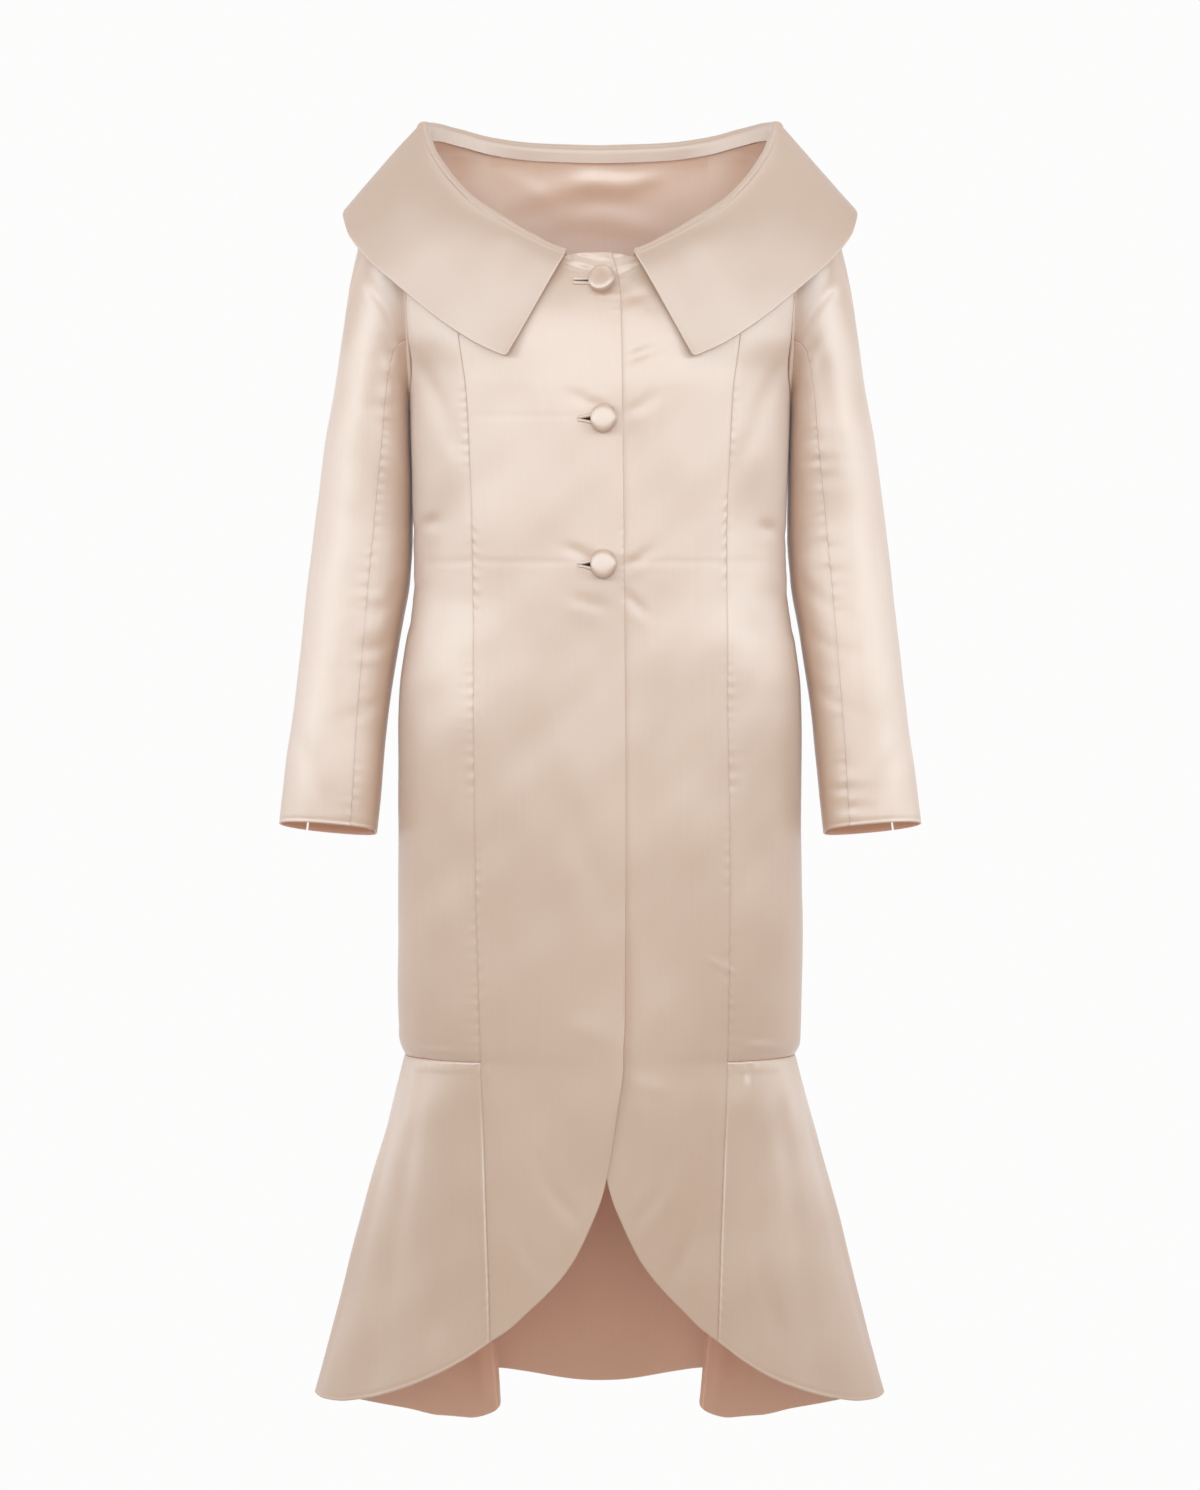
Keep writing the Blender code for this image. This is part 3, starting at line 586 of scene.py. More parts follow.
def front_panel(side):
    """Turns and heights of one front, column by column from its princess seam to its free edge."""
    foot_reach = at_height(PRINCESS, SIDES[side], CUTAWAY["height"][-1] * MM)
    reach = CUTAWAY["reach"] * foot_reach / CUTAWAY["reach"][-1]
    shift = CUTAWAY_AXIS * side * (1 - np.clip(reach / foot_reach, 0, 1) ** 2)
    seam_at_hem = at_height(PRINCESS, SIDES[side], CUTAWAY["height"] * MM) * MM
    edge_x = reach[0] * MM + CUTAWAY_AXIS * side
    known = np.clip((reach * MM + shift - seam_at_hem) / (edge_x - seam_at_hem), 0.0, 1.0)
    share = spread(FRONT_WIDTH, FRONT_STEPS[0])[:, None]
    hem = smooth(known[::-1], CUTAWAY["height"][::-1], share) * MM

    def own_x(height):
        edge = -at_height(FRONT_EDGE, "x", height) * MM + (2 * CUTAWAY_AXIS if side > 0 else 0.0)
        seam = at_height(PRINCESS, SIDES[side], height) * MM
        return seam + (edge - seam) * share

    top = neck_level(lambda height: turn_at(own_x(height), height), len(share))
    heights = levels(hem, top, FRONT_STEPS[1], FRONT_GATHER)
    return side * turn_at(own_x(heights), heights), heights


# How strongly the painted seam shade shows, by height: heights in millimetres, strengths
SEAM_SHADE_SHOWS = (
    (-1110, -950, -860, -400, -345, -290, -235, -140),
    (1.8, 1.6, 1.0, 1.0, 1.7, 1.2, 2.6, 2.6),
)
# Below the buttons the lapped edge stands off: its start and end by depth; place, reach and lift
GAPE = ((0.66, 0.80), (0.88, 0.96))
GAPE_RIDGE = (0.0, 9 * MM, 1.6 * MM)
# Painted shadow along the lapped edge: strength, reach and the heights where it sets in
EDGE_SHADOW = (2.2, 0.6 * MM)
EDGE_SHADOW_FROM = (-0.90, -0.80)
# Tucks along the lapped edge: pitch, reach, rise and start, and the heights where they show
EDGE_TUCKS = (8 * MM, 8 * MM, 0.22 * MM, 2.1)
LOW_TUCKS = ((-0.60, -0.50), (-0.32, -0.24))
TOP_TUCKS = (-0.26, -0.10)
TOP_TUCKS_SHARE = 0.5
# Place, width and rise of the groove below the neck and of the welt at the left princess seam
NECK_GROOVE = (4.5 * MM, 2.4 * MM, -0.4 * MM)
SEAM_WELT = (3.5 * MM, 2.0 * MM, 0.45 * MM)
SEAM_WELT_TOP = (-0.90, -0.85)
# Least share of the way up a column that counts as distance from the steep cutaway
LEAST_LEVEL = 0.05


def front_shell(name, side):
    """One front, sunk below the other where it lies under it."""
    turns, heights = front_panel(side)
    face, normals = on_body(turns, heights)
    if side > 0:
        step = 1 - ease(face[..., 0], *UNDERLAP_STEP)
        face = face - normals * ((WALL + LAYER_GAP) * step)[..., None]
    seam, free, up, neck = from_edges(face)
    slope = np.gradient(face[:, 0], axis=0)
    level = np.hypot(slope[:, 0], slope[:, 1]) / np.linalg.norm(slope, axis=1)
    hem = up * np.maximum(level, LEAST_LEVEL)[:, None]
    shown, hidden, near = edge_finish((seam, free, hem, neck), ("seam", "free", "free", "free"))
    near = near * np.interp(heights / MM, *SEAM_SHADE_SHOWS)
    relief = body_relief(face, normals) + ridge(neck, *NECK_GROOVE)
    gape = between(-heights, *GAPE)
    if side > 0:
        relief = relief + (1 - ease(heights, *SEAM_WELT_TOP)) * ridge(seam, *SEAM_WELT)
        past_edge = face[..., 0] - at_height(FRONT_EDGE, "x", heights) * MM
        relief = relief - gape * ridge(np.maximum(past_edge, 0.0), *GAPE_RIDGE)
    else:
        relief = relief + gape * ridge(np.minimum(free, hem), *GAPE_RIDGE)
        # The right front's lapped edge is darkened with painted shadow
        strength, reach = EDGE_SHADOW
        line = strength * ease(heights, *EDGE_SHADOW_FROM) * np.exp(-free / reach)
        near = np.maximum(near, line)
        tucks = between(heights, *LOW_TUCKS) + ease(heights, *TOP_TUCKS) * TOP_TUCKS_SHARE
        relief = relief + tucks * puckers(heights, free, *EDGE_TUCKS)
    rises = (shown + relief, hidden + relief)
    return cloth_shell(name, face, normals, *rises, near, NECK_FACING_FOOT)


for side, word in SIDES.items():
    front = front_shell(word + "_front_satin", side)
    sew(front, word + "_front", "satin", *BODY_SATINS)

# Side panels
# Four satin panels between the princess and side seams, two to a side, shaped to the waist.
# They carry the armholes and the neck, and end at the hip seam, where the flounces are set on.
HIP_SEAM = -0.853
SIDE_STEPS = (3.4 * MM, 3.6 * MM)
SIDE_WIDTH = 0.095
SIDE_AREAS = {"front": 0.105, "back": 0.124}
ARMHOLE = table("height front back", [
    (-1240, 90, 90), (-202, 90, 90), (-196, 83, 98), (-180, 75, 106), (-142, 68, 112),
    (-100, 66.5, 114), (-50, 69, 112), (0, 75, 106), (30, 81.5, 99), (44, 87, 93), (48, 90, 90),
    (80, 90, 90),
])
# Puckers above the hip seam: pitch, reach and rise, and their start
HIP_PUCKERS = (19 * MM, 9 * MM, 0.5 * MM)
HIP_START = 0.5


def seam_turn(height, seam):
    """Direction of a princess seam: on the right front, on the left front or behind."""
    turn = turn_at(at_height(PRINCESS, seam, height) * MM, height)
    return 180 - turn if seam == "back" else turn


def side_shell(name, side, part):
    """One side panel, from its princess seam to the side seam and armhole."""
    share = spread(SIDE_WIDTH, SIDE_STEPS[0])[:, None]
    princess = "back" if part == "back" else SIDES[side]

    def own_turn(height):
        seam = seam_turn(height, princess)
        return seam + (at_height(ARMHOLE, part, height) - seam) * share

    top = neck_level(own_turn, len(share))
    heights = levels(HIP_SEAM + 0 * top, top, SIDE_STEPS[1])
    turns = side * own_turn(heights)
    face, normals = on_body(turns, heights)
    distances = from_edges(face)
    shown, hidden, near = edge_finish(distances, ("seam", "seam", "deep seam", "hidden"))
    near = near * np.interp(heights / MM, *SEAM_SHADE_SHOWS)
    relief = body_relief(face, normals)
    relief = relief + puckers(distances[0], distances[2], *HIP_PUCKERS, HIP_START + side)
    rises = (shown + relief, hidden + relief)
    return cloth_shell(name, face, normals, *rises, near, NECK_FACING_FOOT)


for side, word in SIDES.items():
    for part, area in SIDE_AREAS.items():
        node = word + "_side_" + part
        panel = sew(side_shell(node + "_satin", side, part), node, "satin", *BODY_SATINS)

# Centre back
# One full-length satin panel between the back princess seams, cut in one from the neck to the hem.
# Its hem dips at centre back and is turned up and felled inside.
BACK_FOOT = -1.192
BACK_HEM_DIP = 0.0185
BACK_STEPS = (3.6 * MM, 3.8 * MM)
BACK_WIDTH = 0.225
# Loose folds and gathers of the facing inside the neck, held flat at the neck edge itself
NECK_LINING_FOLDS = table(CREASE_COLUMNS, [
    (-4, 32, 10, 31, 0, 15, 3.2, 0), (40, 34, 48, 35, 0, 10, 1.4, 0),
    (-58, 20, -34, 24, 2, 16, 1.2, 0), (-20, -2, 30, -8, 3, 18, 0.9, 0),
])
NECK_GATHERS = (13 * MM, 9 * MM, 0.5 * MM, 0.8)
NECK_HOLD = 5 * MM
# Place, width and rise of the faint line where a turned-up hem ends
HEM_LINE = (3.2 * MM, 0.9 * MM, -0.22 * MM)


def back_shell(name):
    """The centre back from seam to seam."""
    share = spread(BACK_WIDTH, BACK_STEPS[0])[:, None] * 2 - 1
    hem = BACK_FOOT - BACK_HEM_DIP * (1 - share ** 2) ** 2

    def own_turn(height):
        return 180 - turn_at(at_height(PRINCESS, "back", height) * MM * share, height)

    top = neck_level(lambda height: 180 - np.abs(180 - own_turn(height)), len(share))
    heights = levels(hem, top, BACK_STEPS[1])
    turns = own_turn(heights)
    face, normals = on_body(turns, heights)
    distances = from_edges(face)
    shown, hidden, near = edge_finish(distances, ("seam", "seam", "free", "hidden"))
    relief = body_relief(face, normals) + ridge(distances[2], *HEM_LINE)
    loose = creases(NECK_LINING_FOLDS, face[..., 0] / MM, face[..., 2] / MM)
    gathers = puckers(distances[0], distances[3], *NECK_GATHERS)
    hidden = hidden - (loose + gathers) * ease(distances[3], 0.0, NECK_HOLD)
    rises = (shown + relief, hidden + relief)
    return cloth_shell(name, face, normals, *rises, near, NECK_FACING_FOOT)


back = sew(back_shell("back_satin"), "back", "satin", *BODY_SATINS)

# Flounces
# Two shaped satin flounces, each set on at the hip seam and into both princess seams of its side.
# Cut as part of a ring, each spreads to a deep flute near the back and has a narrow turned hem.
FRONT_FOOT = -1.123
FLOUNCE_STEPS = (3.2 * MM, 3.6 * MM)
FLOUNCE_WIDTH = 0.52
FLOUNCE_LENGTH = 0.33
# Share of its width over which each end settles into its princess seam
EDGE_FADE = 0.16
FLOUNCE = table("turn x y height", [
    (35, 110, -124, -1123), (43, 130, -118, -1138), (51, 152, -109, -1152), (59, 178, -95, -1166),
    (67, 205, -78, -1178), (74, 232, -57, -1188), (81, 260, -31, -1195), (87, 279, -4, -1196.5),
    (93, 287, 20, -1195), (100, 281, 46, -1200), (107, 259, 70, -1209), (114, 229, 85, -1218),
    (120, 196, 91, -1225), (126, 163, 86, -1231), (131, 134, 73, -1231), (134.5, 114, 58, -1225),
    (136.5, 104.5, 53, -1219), (138.5, 102, 59, -1214), (141, 106, 83, -1208),
    (144, 113, 117, -1200), (147, 121, 150, -1192),
])

# Soft folds of each flounce: millimetres round it from the front seam, and up from the hip seam
FLOUNCE_FOLDS = {
    -1: table(CREASE_COLUMNS, [
        (90, 0, 118, -300, 6, 22, -1.6, 0), (150, -20, 196, -330, -6, 24, -1.5, 0),
        (226, -190, 262, -330, 5, 13, -1.4, 0), (196, -60, 236, -240, 5, 16, -1, 0.5),
        (58, -250, 40, -120, 3, 16, -0.8, 0.6), (262, -10, 300, -330, 4, 20, -1.2, 0),
        (352, -30, 388, -330, 4, 18, -1.2, 0),
    ]),
    1: table(CREASE_COLUMNS, [
        (84, -10, 112, -310, 5, 22, -1.5, 0), (158, 0, 200, -320, -5, 24, -1.6, 0),
        (232, -200, 258, -335, 4, 14, -1.2, 0), (64, -240, 42, -130, 3, 15, -0.8, 0.6),
        (206, -40, 240, -220, 4, 16, -0.9, 0.5), (270, -20, 306, -330, 4, 20, -1.2, 0),
        (346, -20, 380, -330, 4, 18, -1.2, 0),
    ]),
}
# How far the hip seam and the princess seams hold the folds flat
HIP_HOLD = 0.10
SEAM_HOLD = 0.05


def grid_normals(grid):
    """Directions square to a grid of points."""
    return unit(np.cross(np.gradient(grid, axis=0), np.gradient(grid, axis=1)))


def flounce_face(front_seam):
    """Shown face of a flounce laid out at the +X side, from the hem up, column by column."""
    stations = np.arange(len(FLOUNCE["turn"]), dtype=float)
    shares = spread(FLOUNCE_WIDTH, FLOUNCE_STEPS[0])
    at = shares * stations[-1]
    hem = [smooth(stations, FLOUNCE[name], at) * MM for name in ("x", "y", "height")]
    hem = np.stack(hem, axis=-1)
    hip = body_point(smooth(stations, FLOUNCE["turn"], at), HIP_SEAM + 0 * at)
    down = spread(FLOUNCE_LENGTH, FLOUNCE_STEPS[1])
    face = hip[:, None] + (hem - hip)[:, None] * down[None, :, None]
    for end, princess, foot in ((0, front_seam, FRONT_FOOT), (-1, "back", BACK_FOOT)):
        fade = 1 - ease(np.abs(shares - shares[end]), 0.0, EDGE_FADE)
        height = HIP_SEAM + (foot - HIP_SEAM) * down
        seam = body_point(seam_turn(height, princess), height)
        face = face + fade[:, None, None] * (seam - face[end])[None]
    return face[:, ::-1]


# The back edge is drawn in so that its wall clears the centre back: reach, columns and ease
TRIM_REACH = 12 * MM
TRIM_COLUMNS = 10
CORNER_EASE = 1.6


def trimmed(face):
    """The same face, its back edge kept clear of the centre back that it is sewn to."""
    edge = face[-1]
    heading = unit(face[-1 - TRIM_COLUMNS] - edge)
    height = edge[:, 2]
    turn = seam_turn(height, "back")
    ahead = unit(body_point(turn - 1.0, height) - body_point(turn + 1.0, height))
    bend = np.clip(np.sum(heading * ahead, axis=1), 0.0, 1.0)
    trim = WALL * np.tan(np.arccos(bend) / 2) * CORNER_EASE
    away = np.linalg.norm(face - edge[None], axis=2)
    fade = np.clip(1 - away / TRIM_REACH, 0.0, 1.0)
    return face + fade[..., None] * heading[None] * trim[None, :, None]


# Place, width and rise of the welt at the right front seam, and of the painted highlight line at
# both
FLOUNCE_WELT = (4 * MM, 2.4 * MM, 0.45 * MM)
HIGHLIGHT_LINE = (1.7 * MM, 0.9 * MM, 1.0)
# How strongly the painted highlight line shows: heights in millimetres, strengths
HIGHLIGHT_SHOWS = ((-1125, -1080, -960, -905, -880), (0.3, 0.8, 1.0, 0.4, 0.0))


def flounce_shell(name, side):
    """One flounce with its soft folds."""
    face = flounce_face(SIDES[side])
    normals = grid_normals(face)
    mirror = np.array((side, 1, 1))
    face, normals = trimmed(face) * mirror, normals * mirror
    distances = from_edges(face)
    shown, hidden, near = edge_finish(distances, ("seam", "seam", "free", "deep seam"))
    seam = np.minimum(distances[0], distances[1])
    hold = ease(distances[3], 0.0, HIP_HOLD) * ease(seam, 0.0, SEAM_HOLD)
    round_it = spread(FLOUNCE_WIDTH, FLOUNCE_STEPS[0])[:, None] * FLOUNCE_WIDTH / MM + 0 * seam
    folds = hold * creases(FLOUNCE_FOLDS[side], round_it, -distances[3] / MM)
    relief = body_relief(face, normals) + folds + ridge(distances[2], *HEM_LINE)
    welt = ridge(distances[0], *FLOUNCE_WELT) * (side < 0)
    # A painted highlight beside the front seam, taken off the shade mask so that the satin turns
    # pale there
    painted_highlight = ridge(distances[0], *HIGHLIGHT_LINE) * np.interp(face[..., 2] / MM, *HIGHLIGHT_SHOWS)
    rises = (shown + relief + welt, hidden + relief)
    return cloth_shell(name, face, normals, *rises, near - painted_highlight)


for side, word in SIDES.items():
    flounce = flounce_shell(word + "_flounce_satin", side)
    sew(flounce, word + "_flounce", "satin", *BODY_SATINS[:2])
    hung_on = [word + "_side_front", word + "_side_back"]

# Sleeves
# Slim two-piece satin sleeves, eased into the armholes under the collar and slightly bent.
# Each has a front seam and a back seam, and a short vent at the back seam of its plain turned cuff.
VENT_LENGTH = 0.040
VENT_WIDTH = 0.0025
SLEEVE_RADIUS = 0.050
SLEEVE_FLATNESS = 1.0
FLATTENING = (1.0, 7.0)
SLEEVE_LENGTH = 0.70
SLEEVE_STEPS = (3.2 * MM, 3.6 * MM)
# Width of each piece for its grid, the flat size of its cut and its area
SLEEVE_CUTS = {"upper": (0.17, (0.24, 0.78), 0.104), "under": (0.14, (0.18, 0.60), 0.082)}
ARMHOLE_TOP = 0.048
ARMHOLE_FOOT = -0.202
ARMHOLE_MIDDLE_Y = 0.003
ARMHOLE_DITCH = 0.002
ARMHOLE_CLEAR = 0.0012
SLEEVE = table(
    "outer_x outer_z inner_x inner_z middle_y front_depth back_depth lift front_seam back_seam", [
    (198, 44, 190.6, -202, 3, 46, 50, 0, 122, 284), (212, 28, 190.6, -204, 4, 48, 53, 0, 120, 285),
    (226, 4, 190.4, -207, 6, 50, 55, 0, 116.2, 286),
    (239, -34, 190.2, -212, 9, 52, 57, 0, 111.2, 287),
    (250, -82, 190, -221, 13, 54, 58, 0, 107, 288),
    (258.5, -134, 189.6, -236, 16, 55, 58, 0, 103.3, 289),
    (266, -186, 189.2, -262, 18, 55, 57, 0, 101.2, 290),
    (276, -242, 188.8, -296, 18, 54, 56, 0, 99.9, 291),
    (284, -302, 188.4, -334, 16, 52, 54, 1, 98.3, 292),
    (291, -364, 190.5, -378, 11, 50, 52, 2, 97.6, 293),
    (298.5, -440, 201, -440, 3, 47, 48, 3, 101.5, 295),
    (306.5, -517, 211.5, -517, -7, 43, 44, 4, 105.9, 297),
    (313, -566, 216.5, -570, -14, 40, 41, 5, 108.8, 298),
    (319.5, -623.5, 222, -632, -21, 37, 38, 5.5, 111.7, 299),
])
SLEEVE_PLACES = np.arange(len(SLEEVE["lift"]), dtype=float)

# Creases of each sleeve as seen from in front, and of both from behind
SLEEVE_CREASES = {
    -1: table(CREASE_COLUMNS, [
        (-203, -136, -226, -92, -4, 8, 1.3, 0.3), (-211, -156, -204, -196, 2, 8, -1.5, 0.4),
        (-222, -168, -234, -232, 3, 12, -0.8, 0.6), (-202, -392, -240, -424, 3, 10, -0.5, 0.5),
        (-206, -438, -250, -458, 3, 9, -0.4, 0.5), (-216, -500, -262, -520, 2, 9, -0.35, 0.6),
        (-304, -540, -286, -584, 3, 12, -0.4, 0.3), (-280, -280, -262, -420, 6, 18, -0.6, 0.3),
    ]),
    1: table(CREASE_COLUMNS, [
        (196, -148, 230, -90, 5, 8, 1.5, 0.3), (213, -154, 205, -196, -2, 8, -1.7, 0.4),
        (224, -176, 238, -240, -3, 12, -0.8, 0.6), (201, -382, 242, -412, -3, 10, -0.5, 0.5),
        (205, -430, 246, -452, -3, 9, -0.4, 0.5), (214, -488, 258, -512, -2, 9, -0.4, 0.6),
        (300, -552, 284, -592, -3, 12, -0.4, 0.3), (282, -300, 266, -430, -6, 18, -0.6, 0.3),
    ]),
}
SLEEVE_BACK_CREASES = table(CREASE_COLUMNS, [
    (196, -330, 262, -352, 4, 10, -0.9, 0.3), (200, -372, 276, -382, -4, 10, -1, 0.3),
    (206, -412, 284, -410, 4, 10, -0.8, 0.3), (222, -150, 246, -232, 4, 14, -0.9, 0.5),
    (228, -470, 292, -486, 3, 11, -0.6, 0.4),
])
SLEEVE_FACES = (-0.1, 0.5)
# Lumps beside the front seam: pitch, reach, rise and start; waves: rise and closeness
SEAM_LUMPS = (26 * MM, 14 * MM, 0.30 * MM)
LUMPS_START = 0.4
SLEEVE_WAVES = (0.7, 1.2)
ARMHOLE_HOLD = 0.03


def sleeve_ring(place, turn):
    """Points of the +X sleeve's rings; turn 0 is outward, 90 in front, 180 against the body."""
    ring = {name: smooth(SLEEVE_PLACES, SLEEVE[name], place) * MM for name in SLEEVE}
    front, out = np.sin(np.radians(turn)), np.cos(np.radians(turn))
    squareness = 2 + SLEEVE_FLATNESS * ease(place, *FLATTENING) * (out < 0)
    front, out = rounded(front, squareness), rounded(out, squareness)
    depth = np.where(front > 0, ring["front_depth"], ring["back_depth"])
    x, z = (
        (ring["outer_" + axis] + ring["inner_" + axis]) / 2
        + (ring["outer_" + axis] - ring["inner_" + axis]) / 2 * out
        for axis in "xz")
    return np.stack((x, ring["middle_y"] - depth * front, z + ring["lift"] * front), axis=-1)


def armhole_ring(turn):
    """Points of the first edge of the +X sleeve, on the armhole and set just inside it."""
    centre = np.array((0.0, ARMHOLE_MIDDLE_Y, (ARMHOLE_TOP + ARMHOLE_FOOT) / 2))
    angle = np.radians(turn)
    height = centre[2] + (ARMHOLE_TOP - ARMHOLE_FOOT) / 2 * np.cos(angle)
    front, back = (at_height(ARMHOLE, part, height) for part in ("front", "back"))
    edge = body_point(np.where(np.sin(angle) > 0, front, back), height)
    edge = edge + unit((centre - edge) * np.array((0, 1, 1))) * ARMHOLE_DITCH
    return edge + np.array((ARMHOLE_CLEAR, 0, 0))


def sleeve_point(place, turn):
    """Points of the +X sleeve; place -1 is the armhole edge, then it counts the rings."""
    start = np.minimum(place, 0.0)[..., None]
    return sleeve_ring(np.maximum(place, 0.0), turn) * (1 + start) - armhole_ring(turn) * start


def sleeve_normal(place, turn):
    """Outward directions of the +X sleeve."""
    small_turn, small_step = 2.0, 0.2
    around = sleeve_point(place, turn + small_turn) - sleeve_point(place, turn - small_turn)
    after = np.minimum(place + small_step, SLEEVE_PLACES[-1])
    along = sleeve_point(after, turn) - sleeve_point(np.maximum(place - small_step, -1.0), turn)
    return unit(np.cross(around, along))


RUN_SAMPLES = 400


def sleeve_shell(name, side, part):
    """One sleeve piece between two seams, from the cuff up to the armhole."""
    fine = np.linspace(-1.0, SLEEVE_PLACES[-1], RUN_SAMPLES)
    outside = sleeve_point(fine, 0 * fine)
    run = np.cumsum(np.linalg.norm(np.diff(outside, axis=0, prepend=outside[:1]), axis=1))
    place = np.interp(spread(SLEEVE_LENGTH, SLEEVE_STEPS[1]) * run[-1], run, fine)[::-1]
    back_seam, front_seam, level = (
        smooth(SLEEVE_PLACES, SLEEVE[line], np.maximum(place, 0.0))
        for line in ("back_seam", "front_seam", "outer_z"))
    cuff = SLEEVE["outer_z"][-1] * MM
    vent = ease(level * MM, cuff + VENT_LENGTH, cuff)
    vent = vent * np.degrees(VENT_WIDTH / 2 / SLEEVE_RADIUS)
    if part == "upper":
        first, last = back_seam - 360 + vent, front_seam
    else:
        first, last = front_seam, back_seam - vent
    share = spread(SLEEVE_CUTS[part][0], SLEEVE_STEPS[0])[:, None]
    turn = first + (last - first) * share
    place = place[None, :] + 0 * turn
    mirror = np.array((side, 1, 1))
    face = sleeve_point(place, turn) * mirror
    normals = sleeve_normal(place, turn) * mirror
    distances = from_edges(face)
    shown, hidden, near = edge_finish(distances, ("seam", "seam", "free", "seam"))
    x, back = face[..., 0] * side / MM, normals[..., 1]
    z = face[..., 2]
    in_front = ease(-back, *SLEEVE_FACES) * creases(SLEEVE_CREASES[side], *as_seen(face))
    behind = ease(back, *SLEEVE_FACES) * creases(SLEEVE_BACK_CREASES, x, z / MM)
    lumps = puckers(z, distances[1 if part == "upper" else 0], *SEAM_LUMPS, LUMPS_START + side)
    rise, closeness = SLEEVE_WAVES
    relief = rise * unevenness(face * closeness) + in_front + behind + lumps
    relief = relief * ease(distances[3], 0.0, ARMHOLE_HOLD) + ridge(distances[2], *HEM_LINE)
    return cloth_shell(name, face, normals, shown + relief, hidden + relief, near)


for side, word in SIDES.items():
    for part, (width, cut, area) in SLEEVE_CUTS.items():
        node = word + "_" + part + "_sleeve"
        sleeve = sew(sleeve_shell(node + "_satin", side, part), node, "satin", *BODY_SATINS[:2])
        hung_on = [word + "_side_front", word + "_side_back"]

# Collar
# One wide collar of doubled satin, set into the neck on a short stand and folded outward.
# Its two front points stand apart, and its bagged-out edges show the seam inside as a faint ridge.
COLLAR_WALL = 2.4 * MM
NECK_SEAM_GAP = 0.8 * MM
STAND_LAP = (0.3 * MM, 1.6 * MM)
STAND_LEAN = 0.13
ROLL = (1.25, 0.62)
CORNER_REACH = 7 * MM
CORNER_DRAW = 3.0 * MM
CORNER_WAY = (0.35, 0.0, 0.95)
COLLAR_HALF = 0.50
COLLAR_STEP = 3.6 * MM
STAND_STEPS = 4
FOLD_STEPS = 10
FALL_STEP = 3.0 * MM
FALL_FROM = 3
COLLAR_FALL = 0.125
COLLAR = table("turn stand fold x y z bulge", [
    (7.6, 0.6, 2.6, 88, -121, -171.5, 3), (17, 4, 4, 118.5, -111, -157, 3),
    (25, 7.5, 5, 146, -100, -139, 4), (34, 9.5, 5, 172, -84, -118, 5),
    (44, 9.5, 5, 200, -66, -93, 5), (53, 9.5, 5, 229, -45, -66, 4), (64, 9.5, 5, 251, -20, -35, 1),
    (77, 9.5, 5, 256.5, 5, -14.5, 0), (90, 9.5, 5, 255.5, 30, -8, 0), (105, 9.5, 5, 244, 62, -8, 1),
    (120, 9.5, 5, 221, 92, -14, 4), (135, 9.5, 5, 180, 121, -24, 6),
    (150, 9.5, 5, 125, 142, -34, 8), (165, 9.5, 5, 64, 152, -41, 8), (180, 9.5, 5, 0, 155, -44, 8),
])

# Soft hollows of the collar as seen from in front
COLLAR_CREASES = table(CREASE_COLUMNS, [
    (-152, 26, -196, -40, 6, 16, -1.2, 0.3), (-100, -20, -140, -96, 5, 18, -1, 0.3),
    (-214, 10, -240, -40, 3, 12, -1, 0.3), (-70, -72, -98, -140, 3, 13, -0.6, 0.4),
    (150, 30, 198, -38, -6, 16, -1.2, 0.3), (104, -16, 148, -92, -5, 18, -1, 0.3),
    (212, 12, 240, -44, -3, 12, -1, 0.3), (122, 8, 128, -96, 3, 14, 0.7, 0.3),
    (78, -70, 100, -140, -3, 12, -0.6, 0.4),
])
COLLAR_FACES = (-0.1, 0.4)
# Edges: reach and drop of the curl, the raised turnings inside, the groove beside them, puckers
COLLAR_CURL = (1.8 * MM, 1.05 * MM)
STAND_CURL = (0.8 * MM, 0.45 * MM)
TURNINGS_END = (6 * MM, 8.5 * MM)
TURNINGS_RISE = 0.22 * MM
GROOVE = (2.8 * MM, 0.8 * MM)
GROOVE_DEPTH = 0.40 * MM
# Painted shade in the groove, and the reach of a painted shadow line at the rim
GROOVE_SHADE = 1.1
RIM_REACH = 0.9 * MM
COLLAR_PUCKERS = (21 * MM, 10 * MM, 0.16 * MM)
COLLAR_START = 0.9
STAND_SCALLOPS = (9 * MM, 7 * MM, 0.2 * MM, 0.6)
# How strongly the groove, cut in and painted in shade, and the painted shadow at the rim show at
# the two front ends and along the outer edge
COLLAR_EDGES = {0: (1.0, 2.4), 1: (1.0, 2.4), 3: (0.3, 1.2)}
# Where the fall starts, its waves' closeness, and their rise on the stand and more on the fall
FALL_START = (0.02, 0.05)
COLLAR_WAVES = (1.1, 0.3, 0.9)


